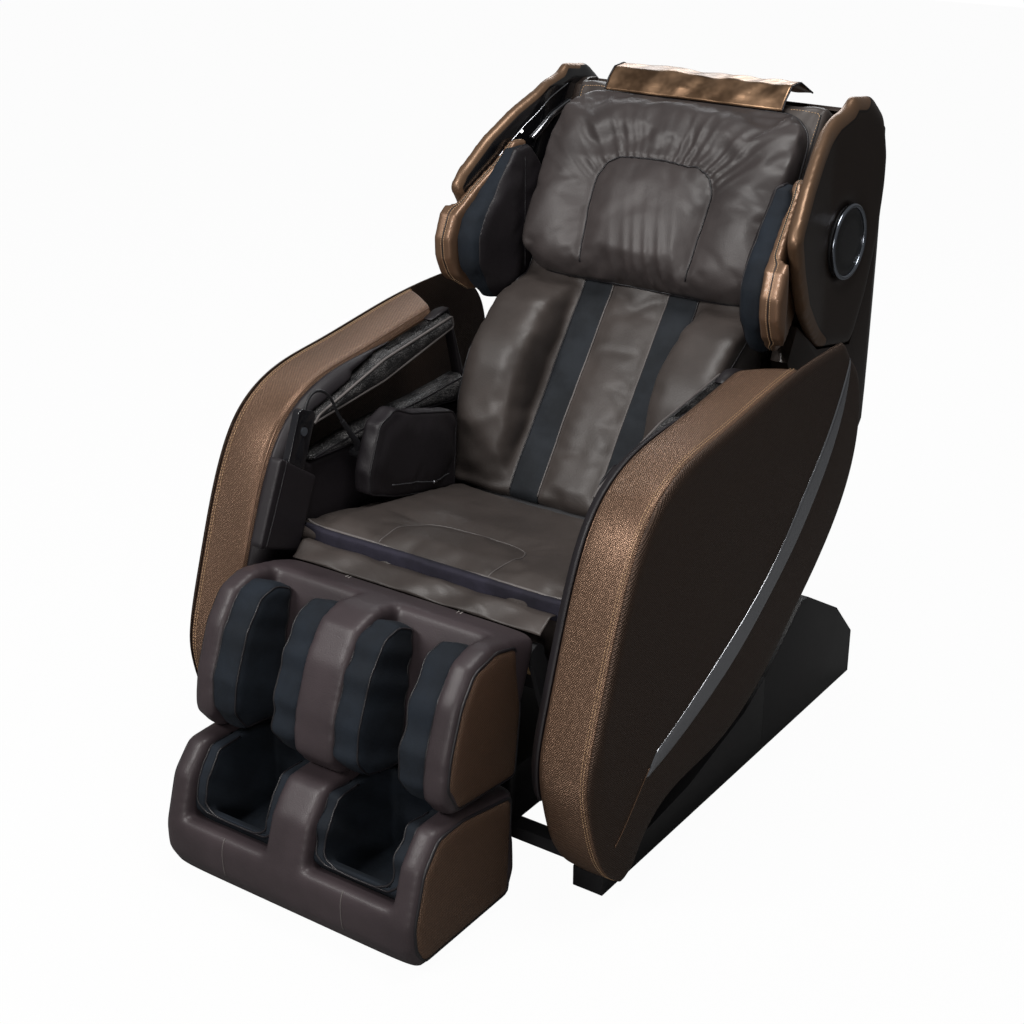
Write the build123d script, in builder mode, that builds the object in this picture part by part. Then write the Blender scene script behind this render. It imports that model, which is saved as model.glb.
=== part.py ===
"""Full-body massage chair: base, tilting seat with padded arms, reclining back, lifting leg rest.

Millimetres, +Z up, floor at Z = 0. The chair faces -Y, and the sitter's left hand is towards +X.
Side outlines are (y, z) points measured from the pivot that the piece hangs on.
"""

import os
from math import cos, radians, sin, tan

from build123d import *

os.makedirs("parts", exist_ok=True)

# ---- driving dimensions ----------------------------------------------------------------
HIP_Y = 61.5  # back recline pivot
HIP_Z = 380.0
SEAT_LENGTH = 425.0  # hip pivot to knee pivot, level
KNEE_Z = 375.0
TILT_Y = 231.5  # pivot of the whole seat on the base
TILT_Z = 120.0
BACK_LEAN = 29.0  # back's lean from upright, degrees
LEG_LEAN = 17.0  # leg rest's lean from upright, degrees

SEAT_GAP = 532.0  # between the arms' inner faces
ARM_LINER = 24.0  # inner panel's thickness
ARM_BAND = 88.0  # padded band's width
ARM_SKIN = 10.0  # outer side panel's thickness
BAND_PAD = 42.0  # padded band's depth over the arm
TRIM_PROUD = 2.0
LEG_WIDTH = 477.0
BACK_WIDTH = 478.0  # back cushion
SHELL_WIDTH = 570.0  # rear shell
SHELL_WALL = 6.0
WING_OUTER = 293.0  # wing's outer face beside the headrest, from the centre line
WING_FLARE = 340.0  # wing's outer face at its front tip
WING_WALL = 27.0
PIN_R = 12.0
RUN_FIT = 0.05  # radial running clearance
CLEAR = 0.3
RAIL_INNER = 293.0  # inner face of the base's side rails
RAIL_WIDTH = 52.0
TUBE = 30.0
FOOT_PAD_H = 6.0
WHEEL_R = 27.0
WHEEL_W = 24.0

arm_in = SEAT_GAP / 2
arm_seam = arm_in + ARM_LINER
skin_in = arm_seam + ARM_BAND
arm_out = skin_in + ARM_SKIN
knee_y = HIP_Y - SEAT_LENGTH
back_half = BACK_WIDTH / 2
shell_half = SHELL_WIDTH / 2
leg_half = LEG_WIDTH / 2
rail_out = RAIL_INNER + RAIL_WIDTH
SIDES = (("left", 1), ("right", -1))


# ---- helpers -----------------------------------------------------------------------------
def hip(*points):
    return [(HIP_Y + y, HIP_Z + z) for y, z in points]


def knee(*points):
    return [(knee_y + y, KNEE_Z + z) for y, z in points]


def up_back(s, t):
    """A point of the back: s up along it from the hip pivot, t behind it."""
    lean = radians(BACK_LEAN)
    y = HIP_Y + s * sin(lean) + t * cos(lean)
    z = HIP_Z + s * cos(lean) - t * sin(lean)
    return (y, z)


def back_line(*points):
    return [up_back(s, t) for s, t in points]


def span(side, near, far):
    """The stretch of X between two distances from the centre line, on one side."""
    return min(side * near, side * far), max(side * near, side * far)


def side_face(points, x, radius=0.0):
    with BuildSketch(Plane.YZ.offset(x)) as face:
        with BuildLine():
            Polyline(*points, close=True)
        make_face()
        if radius:
            fillet(face.vertices(), radius)
    return face.sketch


def side_block(points, x_span, radius=0.0, mode=Mode.ADD):
    extrude(side_face(points, x_span[0], radius), amount=x_span[1] - x_span[0], mode=mode)


def plan_block(points, z_span, mode=Mode.INTERSECT):
    with BuildSketch(Plane.XY.offset(z_span[0])) as face:
        with BuildLine():
            Polyline(*points, close=True)
        make_face()
    extrude(face.sketch, amount=z_span[1] - z_span[0], mode=mode)


def cross_rod(y, z, radius, x_span, mode=Mode.ADD):
    """A round bar or hole along X."""
    with BuildSketch(Plane.YZ.offset(x_span[0])) as face:
        with Locations((y, z)):
            Circle(radius)
    extrude(face.sketch, amount=x_span[1] - x_span[0], mode=mode)


def fork(x, pin, plate):
    """Two plates and the pin between them, where one end of an actuator sits."""
    for _, side in SIDES:
        low, high = span(side, FORK_GAP / 2, FORK_GAP / 2 + FORK_PLATE)
        side_block(plate, (x + low, x + high))
    cross_rod(*pin, FORK_PIN_R, (x - FORK_GAP / 2, x + FORK_GAP / 2))


def actuator(name, x, start, end, tube_end, rod_start, eye_bore, pull=0.0):
    """A motor with its tube, hinged at start, and the rod in it, which pulls in by pull or slides out."""
    here = Vector(x, *start)
    there = Vector(x, *end)
    way = (there - here).normalized()
    below = Vector(0, way.Z, -way.Y) * (GEAR_DROP if way.Y > 0 else -GEAR_DROP)
    reach = (there - here).length
    with BuildPart() as motor:
        with BuildSketch(Plane(origin=here + way * NECK, z_dir=way)):
            Circle(TUBE_R)
        extrude(amount=tube_end - NECK)
        with BuildSketch(Plane(origin=here + way * FORK_PIN_R * 2, z_dir=way)):
            Circle(FORK_GAP / 2 - CLEAR)
        extrude(amount=NECK)
        with BuildSketch(Plane(origin=here + way * GEAR_DROP + below, z_dir=way)):
            Circle(TUBE_R + 2)
        extrude(amount=GEAR_LENGTH)
        with BuildSketch(Plane(origin=here + way * GEAR_DROP + below / 2, x_dir=(1, 0, 0), z_dir=way)):
            Rectangle(2 * TUBE_R, GEAR_DROP)
        extrude(amount=GEAR_WEB)
        cross_rod(*start, TUBE_R - 3, (x - FORK_GAP / 2 + CLEAR, x + FORK_GAP / 2 - CLEAR))
        cross_rod(*start, FORK_PIN_R + RUN_FIT, (x - FORK_GAP, x + FORK_GAP), mode=Mode.SUBTRACT)
        bore_start = rod_start - pull - ROD_END_GAP
        with BuildSketch(Plane(origin=here + way * bore_start, z_dir=way)):
            Circle(ROD_R + RUN_FIT)
        extrude(amount=tube_end - bore_start + 2, mode=Mode.SUBTRACT)
    keep(motor.part, f"{name}_motor")
    with BuildPart() as rod:
        eye = eye_bore + 6
        with BuildSketch(Plane(origin=here + way * rod_start, z_dir=way)):
            Circle(ROD_R)
        extrude(amount=reach - rod_start - eye_bore - 2)
        cross_rod(*end, eye, (x - FORK_GAP / 2 + CLEAR, x + FORK_GAP / 2 - CLEAR))
        cross_rod(*end, eye_bore, (x - FORK_GAP, x + FORK_GAP), mode=Mode.SUBTRACT)
    keep(rod.part, f"{name}_rod")


def keep(part, name):
    part.label = name
    export_step(part, f"parts/{name}.step")


# Actuators: the pin that each one's motor hinges on, and the pin that its rod moves.
TUBE_R = 18.0
ROD_R = 9.0
FORK_GAP = 24.0
FORK_PLATE = 5.0
FORK_PIN_R = 6.0
ROD_END_GAP = 8.0
GEAR_DROP = 34.0  # from the tube to the drive motor beside it
GEAR_LENGTH = 90.0
GEAR_WEB = 26.0
NECK = 24.0  # from the motor's pin to the wide part of its tube
CARRIER_Y = (HIP_Y - 300.0, HIP_Y + 30.0)
CARRIER_H = 24.0
BEAM_Z = (-112.0, -76.0)
carrier_low = HIP_Z + BEAM_Z[0] - CARRIER_H
TILT_X, BACK_X, LEG_X = 185.0, -60.0, -185.0
TILT_START = (100.0, 62.0)
TILT_END = (CARRIER_Y[0], carrier_low - 20)
BACK_START = (CARRIER_Y[0], carrier_low - 29)
BACK_END = hip((38, -68))[0]
LEG_START = (HIP_Y - 95.0, 95.0)
LEG_END = knee((20, -88))[0]

ALL_Z = (0.0, 1200.0)

# ---- base ----------------------------------------------------------------------------------
RAIL_FRONT = -358.0
RAIL_REAR = 495.0
RAIL_END = RAIL_REAR - 80  # the steel rail stops short of the wheel
RAIL_Z = FOOT_PAD_H
rail_mid = RAIL_INNER + RAIL_WIDTH / 2
RAIL_TUBE_H = 34.0
CROSS_Y = (-300.0, 130.0, TILT_Y)
LUG_X = (264.0, 274.0)
LUG_R = 26.0

with BuildPart() as base_frame:
    for _, side in SIDES:
        rail = (rail_mid - TUBE / 2, rail_mid + TUBE / 2)
        side_block(
            [
                (RAIL_FRONT + 14, RAIL_Z),
                (RAIL_END, RAIL_Z),
                (RAIL_END, RAIL_Z + RAIL_TUBE_H),
                (RAIL_FRONT + 14, RAIL_Z + RAIL_TUBE_H - 12),
            ],
            span(side, *rail),
        )
        lug_foot = 30.0
        side_block(
            [
                (TILT_Y - LUG_R - lug_foot, RAIL_Z),
                (TILT_Y + LUG_R + lug_foot, RAIL_Z),
                (TILT_Y + LUG_R, TILT_Z),
                (TILT_Y - LUG_R, TILT_Z),
            ],
            span(side, *LUG_X),
        )
        cross_rod(TILT_Y, TILT_Z, LUG_R, span(side, *LUG_X))
        cross_rod(TILT_Y, TILT_Z, PIN_R, span(side, LUG_X[0] - 13, LUG_X[0]))
    for y in CROSS_Y:
        with BuildSketch(Plane.YZ.offset(-rail_mid)) as tube:
            with Locations((y, RAIL_Z + TUBE / 2 - 2)):
                Rectangle(TUBE, TUBE - 8)
        extrude(tube.sketch, amount=2 * rail_mid)
    fork(TILT_X, TILT_START, [(85, RAIL_Z + 14), (145, RAIL_Z + 14), (112, TILT_START[1] + 8), (88, TILT_START[1] + 8)])
keep(base_frame.part, "base_frame")

# The black covers hide the side rails; each is open underneath and notched for the cross tubes.
COVER_BREAK = 150.0
COVER_LOW = 1.5


def cut_for_rails(side):
    slot = (rail_mid - TUBE / 2 - CLEAR, rail_mid + TUBE / 2 + CLEAR)
    side_block(
        [
            (RAIL_FRONT + 12, -1),
            (RAIL_END + 1, -1),
            (RAIL_END + 1, RAIL_Z + RAIL_TUBE_H + CLEAR),
            (RAIL_FRONT + 12, RAIL_Z + RAIL_TUBE_H - 11),
        ],
        span(side, *slot),
        mode=Mode.SUBTRACT,
    )
    for y in CROSS_Y:
        with BuildSketch(Plane.YZ.offset(span(side, RAIL_INNER - 1, rail_mid)[0])) as notch:
            with Locations((y, RAIL_Z + TUBE / 2 - 10)):
                Rectangle(TUBE + 2 * CLEAR, TUBE + 9)
        extrude(notch.sketch, amount=rail_mid - RAIL_INNER + 1, mode=Mode.SUBTRACT)


with BuildPart() as skid_covers:
    for _, side in SIDES:
        side_block(
            [
                (RAIL_FRONT, COVER_LOW),
                (COVER_BREAK, COVER_LOW),
                (COVER_BREAK, 143),
                (80, 108),
                (-100, 62),
                (RAIL_FRONT, 36),
            ],
            span(side, RAIL_INNER, rail_out),
        )
        cut_for_rails(side)
keep(skid_covers.part, "skid_covers")

WHEEL_Y = 447.0
WHEEL_Z = WHEEL_R + 3.0
with BuildPart() as rear_housings:
    for _, side in SIDES:
        side_block(
            [
                (COVER_BREAK + CLEAR, COVER_LOW),
                (RAIL_REAR, COVER_LOW),
                (RAIL_REAR, 85),
                (424, 160),
                (300, 232),
                (272, 234),
                (COVER_BREAK + CLEAR, 143),
            ],
            span(side, RAIL_INNER, rail_out),
            radius=0.0,
        )
        cut_for_rails(side)
        wheel_bay = (rail_mid - WHEEL_W / 2 - 2, rail_mid + WHEEL_W / 2 + 2)
        cross_rod(WHEEL_Y, WHEEL_Z, WHEEL_R + 4, span(side, *wheel_bay), mode=Mode.SUBTRACT)
        side_block(
            [
                (WHEEL_Y - WHEEL_R - 4, -1),
                (WHEEL_Y + WHEEL_R + 4, -1),
                (WHEEL_Y + WHEEL_R + 4, WHEEL_Z),
                (WHEEL_Y - WHEEL_R - 4, WHEEL_Z),
            ],
            span(side, *wheel_bay),
            mode=Mode.SUBTRACT,
        )
        cross_rod(WHEEL_Y, WHEEL_Z, 5.0, span(side, RAIL_INNER + 5, rail_out - 5), mode=Mode.SUBTRACT)
keep(rear_housings.part, "rear_housings")

with BuildPart() as wheel_axles:
    for _, side in SIDES:
        cross_rod(WHEEL_Y, WHEEL_Z, 5.0, span(side, RAIL_INNER + 5, rail_out - 5))
keep(wheel_axles.part, "wheel_axles")

for side_name, side in SIDES:
    with BuildPart() as transport_wheel:
        tyre = (rail_mid - WHEEL_W / 2, rail_mid + WHEEL_W / 2)
        cross_rod(WHEEL_Y, WHEEL_Z, WHEEL_R, span(side, *tyre))
        fillet(transport_wheel.edges().filter_by(GeomType.CIRCLE), 4.0)
        cross_rod(WHEEL_Y, WHEEL_Z, 5.0 + RUN_FIT, span(side, *tyre), mode=Mode.SUBTRACT)
    keep(transport_wheel.part, f"transport_wheel_{side_name}")

PAD_R = 13.0
with BuildPart() as rubber_feet:
    with BuildSketch():
        with Locations(*[(side * rail_mid, y) for _, side in SIDES for y in (-310.0, 395.0)]):
            Circle(PAD_R)
    extrude(amount=FOOT_PAD_H)
keep(rubber_feet.part, "rubber_feet")

# Power and control box on two of the cross tubes, with the mains inlet and switch in its back face.
BOX_X = 150.0
BOX_Y = (-312.0, 150.0)
BOX_Z = (RAIL_Z + TUBE - 6.0, 128.0)
INLET = (28.0, 22.0)
SWITCH = (22.0, 16.0)
INLET_X, SWITCH_X = -60.0, -105.0
PANEL_Z = 92.0
POCKET = 24.0

with BuildPart() as control_box:
    with BuildSketch(Plane.XY.offset(BOX_Z[0])):
        with Locations((0, sum(BOX_Y) / 2)):
            RectangleRounded(2 * BOX_X, BOX_Y[1] - BOX_Y[0], 12)
    extrude(amount=BOX_Z[1] - BOX_Z[0])
    with BuildSketch(Plane.XZ.offset(-BOX_Y[1])):
        with Locations((INLET_X, PANEL_Z)):
            Rectangle(INLET[0], INLET[1])
        with Locations((SWITCH_X, PANEL_Z)):
            Rectangle(SWITCH[0], SWITCH[1])
    extrude(amount=POCKET, mode=Mode.SUBTRACT)
keep(control_box.part, "control_box")

with BuildPart() as power_inlet:
    with BuildSketch(Plane.XZ.offset(-BOX_Y[1] - 2)):
        with Locations((INLET_X, PANEL_Z)):
            Rectangle(INLET[0], INLET[1])
    extrude(amount=POCKET + 2)
    with BuildSketch(Plane.XZ.offset(-BOX_Y[1] - 2)):
        with Locations((INLET_X, PANEL_Z)):
            Rectangle(INLET[0] - 4, INLET[1] - 6)
    extrude(amount=POCKET - 6, mode=Mode.SUBTRACT)
    with BuildSketch(Plane.XZ.offset(-BOX_Y[1] + POCKET - 8)):
        with Locations(*[(INLET_X + dx, PANEL_Z + dz) for dx, dz in ((-7, -2), (0, 2), (7, -2))]):
            Rectangle(2, 5)
    extrude(amount=-12)
keep(power_inlet.part, "power_inlet")

ROCKER_Y = BOX_Y[1] - 7.0
with BuildPart() as power_switch:
    with BuildSketch(Plane.YZ.offset(SWITCH_X - SWITCH[0] / 2 + 1)):
        with BuildLine():
            Polyline(
                (ROCKER_Y + 9, PANEL_Z + 6),
                (ROCKER_Y + 5, PANEL_Z),
                (ROCKER_Y + 7, PANEL_Z - 6),
                (ROCKER_Y - 6, PANEL_Z - 4),
                (ROCKER_Y - 6, PANEL_Z + 4),
                close=True,
            )
        make_face()
    extrude(amount=SWITCH[0] - 2)
    cross_rod(ROCKER_Y, PANEL_Z, 2.5, (SWITCH_X - SWITCH[0] / 2, SWITCH_X + SWITCH[0] / 2))
keep(power_switch.part, "power_switch")

# ---- seat frame and cushion --------------------------------------------------------------------
BEAM_X = (222.0, 251.0)
BRACKET_X = (251.0, 261.0)
KNEE_LUG_X = (206.0, 214.0)

with BuildPart() as seat_frame:
    for _, side in SIDES:
        side_block(
            hip((-405, BEAM_Z[0]), (60, BEAM_Z[0]), (60, BEAM_Z[1]), (-405, BEAM_Z[1])),
            span(side, *BEAM_X),
        )
        bracket = span(side, *BRACKET_X)
        side_block(hip((-60, BEAM_Z[1]), (-60, BEAM_Z[0]), (60, BEAM_Z[0]), (24, 8), (-24, 8)), bracket)
        cross_rod(HIP_Y, HIP_Z, 26.0, bracket)
        side_block(
            [
                (HIP_Y - 10, HIP_Z + BEAM_Z[1] - 2),
                (HIP_Y - 10, HIP_Z + BEAM_Z[0] + 2),
                (TILT_Y - 22, TILT_Z - 14),
                (TILT_Y + 22, TILT_Z + 14),
                (HIP_Y + 58, HIP_Z + BEAM_Z[1] - 10),
            ],
            bracket,
        )
        cross_rod(TILT_Y, TILT_Z, 26.0, bracket)
        cross_rod(TILT_Y, TILT_Z, PIN_R + RUN_FIT, bracket, mode=Mode.SUBTRACT)
        cross_rod(HIP_Y, HIP_Z, PIN_R + RUN_FIT, bracket, mode=Mode.SUBTRACT)
        # front bracket that carries the leg rest's pivot pin
        lug = span(side, BEAM_X[0], BEAM_X[0] + 8)
        front = [
            (HIP_Y - 405, HIP_Z + BEAM_Z[0]),
            (HIP_Y - 350, HIP_Z + BEAM_Z[0]),
            (HIP_Y - 372, HIP_Z + BEAM_Z[1]),
            (knee_y + 16, KNEE_Z),
            (knee_y - 16, KNEE_Z),
        ]
        side_block(front, lug)
        cross_rod(knee_y, KNEE_Z, 18.0, lug)
        cross_rod(knee_y, KNEE_Z, 8.0, span(side, KNEE_LUG_X[0], BEAM_X[0]))
    for y in CARRIER_Y:
        with BuildSketch(Plane.YZ.offset(-skin_in)) as carrier:
            with Locations((y, carrier_low + CARRIER_H / 2)):
                Rectangle(TUBE, CARRIER_H)
        extrude(carrier.sketch, amount=2 * skin_in)
    for x, pin in ((TILT_X, TILT_END), (BACK_X, BACK_START)):
        y, z = pin
        fork(x, pin, [(y - 15, carrier_low + 4), (y + 15, carrier_low + 4), (y + 10, z - 8), (y - 10, z - 8)])
    y, z = LEG_START
    fork(
        LEG_X,
        LEG_START,
        [(CARRIER_Y[1] - 15, carrier_low + 4), (CARRIER_Y[1] + 15, carrier_low + 4), (y + 12, z - 8), (y - 12, z + 5)],
    )
keep(seat_frame.part, "seat_frame")

with BuildPart() as seat_pan:
    side_block(hip((-372, -75.5), (-40, -75.5), (-40, -63.5), (-372, -63.5)), (-220.0, 220.0))
keep(seat_pan.part, "seat_pan")

actuator("tilt", TILT_X, TILT_START, TILT_END, tube_end=250, rod_start=120, eye_bore=10)
actuator("back", BACK_X, BACK_START, BACK_END, tube_end=220, rod_start=115, eye_bore=10, pull=43)
actuator("leg", LEG_X, LEG_START, LEG_END, tube_end=235, rod_start=80, eye_bore=24)

CUSHION_HALF = 203.0
with BuildPart() as seat_cushion:
    side_block(
        hip((-382, -63), (-382, 60), (-365, 72), (-280, 62), (-140, 40), (-22, 20), (-30, -63)),
        (-CUSHION_HALF, CUSHION_HALF),
    )
    side_block(
        hip((-382, -63), (-382, 58), (-365, 68), (-262, 50), (-198, 36), (-30, -8), (-30, -63)),
        (-arm_in + 4.5, arm_in - 4.5),
    )
    # the corners sit over the frame's front brackets and hip brackets
    for _, side in SIDES:
        side_block(
            hip((-400, -70), (-345, -70), (-345, 32), (-400, 32)),
            span(side, KNEE_LUG_X[0] - 2, arm_in),
            mode=Mode.SUBTRACT,
        )
        side_block(
            hip((-70, -70), (-20, -70), (-20, 30), (-70, 20)),
            span(side, BEAM_X[0] - 2, arm_in),
            mode=Mode.SUBTRACT,
        )
keep(seat_cushion.part, "seat_cushion")

with BuildPart() as seat_apron:
    side_block(
        hip((-383, 56), (-398, 54), (-425, 36), (-425, 28), (-398, 34), (-383, 38)),
        (-leg_half + 4, leg_half - 4),
    )
keep(seat_apron.part, "seat_apron")

# ---- arms --------------------------------------------------------------------------------------
ARM_TOP = ((218, 324), (20, 317), (-180, 291), (-317, 265), (-380, 223), (-420, 165))
ARM_FRONT = ((-470, 43), (-505, -60), (-520, -122), (-510, -195), (-480, -277))
ARM_CHIN = (-423, -338)
ARM_FIN = ((-302, -256), (-153, -241), (4, -183), (119, -91), (226, 5), (285, 99), (298, 170), (286, 242))


def arm_curve(depth, points):
    """The arm's top and front line, moved in by depth along its own normal."""
    line = Spline(*hip(*points), mode=Mode.PRIVATE)
    steps = len(points) + 2
    inward = []
    for i in range(steps + 1):
        spot = line @ (i / steps)
        way = line % (i / steps)
        inward.append((spot.X - way.Y * depth, spot.Y + way.X * depth))
    return inward


BAND_SLANT = 0.67  # of the band's rear end, over its width
for side_name, side in SIDES:
    # rigid outer fairing, with a fin that reaches back beside the reclining back
    with BuildPart() as side_panel:
        with BuildSketch(Plane.YZ.offset(span(side, skin_in, arm_out)[0])) as fairing:
            with BuildLine():
                top = Spline(*hip(*ARM_TOP, *ARM_FRONT, ARM_CHIN))
                fin = Spline(*hip((-392, -326), *ARM_FIN, (247, 288)))
                Line(top @ 1, fin @ 0)
                Line(fin @ 1, top @ 0)
            make_face()
        extrude(fairing.sketch, amount=ARM_SKIN)
    keep(side_panel.part, f"arm_side_panel_{side_name}")

    # padded band over the top and down the front, cut slantwise at its rear end
    with BuildPart() as arm_band:
        with BuildSketch(Plane.YZ.offset(span(side, arm_seam, skin_in)[0])) as wrap:
            with BuildLine():
                outer = Spline(*hip(*ARM_TOP, *ARM_FRONT, ARM_CHIN))
                inner = Spline(*arm_curve(BAND_PAD, (*ARM_TOP, *ARM_FRONT, ARM_CHIN)))
                Line(outer @ 0, inner @ 0)
                Line(outer @ 1, inner @ 1)
            make_face()
        extrude(wrap.sketch, amount=ARM_BAND)
        rear = HIP_Y + 66.0
        plan_block(
            [
                (side * arm_seam, -600),
                (side * skin_in, -600),
                (side * skin_in, rear + BAND_SLANT * ARM_BAND),
                (side * arm_seam, rear),
            ],
            ALL_Z,
        )
    keep(arm_band.part, f"arm_band_{side_name}")

# inner panels with a long window for the forearm and its airbags
WINDOW = ((42, 306), (-150, 280), (-325, 232), (-345, 205), (-345, 152), (-200, 146), (-60, 150), (84, 132))
for side_name, side in SIDES:
    with BuildPart() as inner_panel:
        with BuildSketch(Plane.YZ.offset(span(side, arm_in, arm_seam)[0])) as board:
            with BuildLine():
                edge = Spline(*arm_curve(8.0, (*ARM_TOP[1:], *ARM_FRONT[:4])))
                Polyline(
                    edge @ 0,
                    hip((54, 308))[0],
                    hip((104, 150))[0],
                    hip((60, -60))[0],
                    hip((-300, -80))[0],
                    edge @ 1,
                )
            make_face()
        extrude(board.sketch, amount=ARM_LINER)
        side_block(hip(*WINDOW), span(side, arm_in, arm_seam), mode=Mode.SUBTRACT)
    keep(inner_panel.part, f"arm_inner_panel_{side_name}")

    BAG_PROUD = 10.0
    with BuildPart() as forearm_airbags:
        upper = ((38, 303), (-150, 277), (-321, 230), (-336, 213), (-150, 233), (44, 276))
        lower = ((68, 186), (-55, 178), (-210, 175), (-341, 164), (-341, 155), (-200, 149), (-60, 153), (76, 137))
        side_block(hip(*upper), span(side, arm_in - BAG_PROUD, arm_seam - CLEAR))
        side_block(hip(*lower), span(side, arm_in - BAG_PROUD, skin_in - CLEAR))
    keep(forearm_airbags.part, f"forearm_airbags_{side_name}")

TRIM_FRONT = ((236, 296), (198, 229), (154, 172), (86, 103), (27, 45), (-48, -10), (-139, -59), (-269, -117))
TRIM_REAR = ((-351, -147), (-308, -164), (-223, -138), (-90, -80), (-13, -32), (64, 23), (132, 87), (191, 160))
with BuildPart() as arm_trims:
    for _, side in SIDES:
        with BuildSketch(Plane.YZ.offset(span(side, arm_out, arm_out + TRIM_PROUD)[0])) as strip:
            with BuildLine():
                ahead = Spline(*hip(*TRIM_FRONT, (-351, -147)))
                behind = Spline(*hip((-380, -179), *TRIM_REAR[1:], (222, 221), (236, 296)))
                Line(ahead @ 1, behind @ 0)
            make_face()
        extrude(strip.sketch, amount=TRIM_PROUD)
keep(arm_trims.part, "arm_trims")

# ---- handset in its pocket on the sitter's right arm ----------------------------------------------
SET_TOP = hip((-357, 250))[0]
SET_LOW = hip((-432, 68))[0]
SET_HALF = 21.0
SET_X = (-arm_in + 5.0, -arm_in + 19.0)
POCKET_WALL = 4.0
set_run = (SET_TOP[0] - SET_LOW[0], SET_TOP[1] - SET_LOW[1])
set_length = (set_run[0] ** 2 + set_run[1] ** 2) ** 0.5
set_along = (set_run[0] / set_length, set_run[1] / set_length)


def on_set(along, across):
    """A point of the handset's side outline: along it from the bottom, across towards the rear."""
    y = SET_LOW[0] + along * set_along[0] + across * set_along[1]
    z = SET_LOW[1] + along * set_along[1] - across * set_along[0]
    return (y, z)


with BuildPart() as handset:
    side_block(
        [
            on_set(0, -SET_HALF),
            on_set(set_length, -SET_HALF),
            on_set(set_length, SET_HALF),
            on_set(0, SET_HALF),
        ],
        SET_X,
        radius=9.0,
    )
    BUTTON_AT = on_set(set_length - 34, 0)
    cross_rod(*BUTTON_AT, 7.0 + CLEAR, (SET_X[1] - 4.0, SET_X[1]), mode=Mode.SUBTRACT)
keep(handset.part, "handset")

with BuildPart() as handset_button:
    cross_rod(*BUTTON_AT, 7.0, (SET_X[1] - 2.5, SET_X[1] + 1.5))
keep(handset_button.part, "handset_button")

POCKET_TOP = 118.0
with BuildPart() as handset_pocket:
    side_block(
        [on_set(-26, -50), on_set(POCKET_TOP, -46), on_set(POCKET_TOP - 22, 50), on_set(-26, 46)],
        (-arm_in, SET_X[1] + POCKET_WALL + CLEAR),
        radius=6.0,
    )
    side_block(
        [
            on_set(-CLEAR, -SET_HALF - CLEAR),
            on_set(POCKET_TOP + 30, -SET_HALF - CLEAR),
            on_set(POCKET_TOP + 30, SET_HALF + CLEAR),
            on_set(-CLEAR, SET_HALF + CLEAR),
        ],
        (SET_X[0] - CLEAR, SET_X[1] + CLEAR),
        mode=Mode.SUBTRACT,
    )
keep(handset_pocket.part, "handset_pocket")


# ---- handset cord: out of the handset's top, over in a loop, into a sleeve on the arm ------------------
CORD_D = 5.0
SLEEVE_X = -arm_in + 16.5
SLEEVE_TOP = hip((-276, 207))[0]
SLEEVE_LOW = hip((-240, 156))[0]
BOSS = hip((-233, 138))[0]
SLEEVE_R = 5.5
SLEEVE_TAPER = 1.5
BOSS_R = 9.0
cord_start = on_set(set_length, 0)
set_mid_x = sum(SET_X) / 2
CORD_POINTS = [
    (set_mid_x, *cord_start),
    (set_mid_x, *on_set(set_length + 15.5, 0)),
    (set_mid_x + 1.5, *hip((-335, 275))[0]),
    (SLEEVE_X - 1.0, *hip((-314, 268))[0]),
    (SLEEVE_X, *hip((-298, 250))[0]),
    (SLEEVE_X, *hip((-287, 222.6))[0]),
    (SLEEVE_X, *SLEEVE_TOP),
]


def cord_radii(points):
    """The largest tangent arcs that the runs beside each corner leave room for."""
    radii = []
    for before, corner, after in zip(points, points[1:], points[2:]):
        run_in = Vector(*corner) - Vector(*before)
        run_out = Vector(*after) - Vector(*corner)
        turn = radians(run_in.get_angle(run_out))
        radii.append(0.45 * min(run_in.length, run_out.length) / tan(turn / 2))
    return radii


cord_arcs = cord_radii(CORD_POINTS)
print("cord radii", [round(r, 1) for r in cord_arcs])
with BuildPart() as handset_cord:
    with BuildLine():
        route = FilletPolyline(*CORD_POINTS, radius=cord_arcs)
    with BuildSketch(Plane(origin=route @ 0, z_dir=route % 0)):
        Circle(CORD_D / 2)
    sweep()
print("cord length", round(route.length, 1), "volume", round(handset_cord.part.volume, 1))
keep(handset_cord.part, "handset_cord")

with BuildPart() as cord_sleeve:
    low = Vector(SLEEVE_X, *SLEEVE_LOW)
    high = Vector(SLEEVE_X, *SLEEVE_TOP)
    with BuildSketch(Plane(origin=low, z_dir=high - low)):
        Circle(SLEEVE_R)
    extrude(amount=(high - low).length, taper=SLEEVE_TAPER)
    cross_rod(*BOSS, BOSS_R, (-arm_in, SLEEVE_X + SLEEVE_R))
    side_block(
        [
            (SLEEVE_LOW[0] - 5, SLEEVE_LOW[1] + 3),
            (SLEEVE_LOW[0] + 6, SLEEVE_LOW[1] + 1),
            (BOSS[0] + 5, BOSS[1] + 4),
            (BOSS[0] - 7, BOSS[1] + 2),
        ],
        (SLEEVE_X - SLEEVE_R, SLEEVE_X + SLEEVE_R),
    )
keep(cord_sleeve.part, "cord_sleeve")

HIP_PAD_OUT = 243.0
# ---- hip pads ----------------------------------------------------------------------------------
for side_name, side in SIDES:
    with BuildPart() as hip_pad:
        side_block(
            hip((-265, 82), (-262, 122), (-231, 195), (-191, 211), (-150, 192), (-34, 160), (-24, 140), (-34, 14),
                (-198, 56)),
            span(side, CUSHION_HALF + 3, HIP_PAD_OUT),
        )
    keep(hip_pad.part, f"hip_pad_{side_name}")

# ---- back ----------------------------------------------------------------------------------------
FRAME_X = (212.0, 239.0)
ARM_PLATE_X = (239.5, 250.5)
FRAME_T = (79.0, 109.0)
PLATE_TOP = 90.0
PIVOT_BOSS = 12.0  # metal round the hip pin

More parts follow.
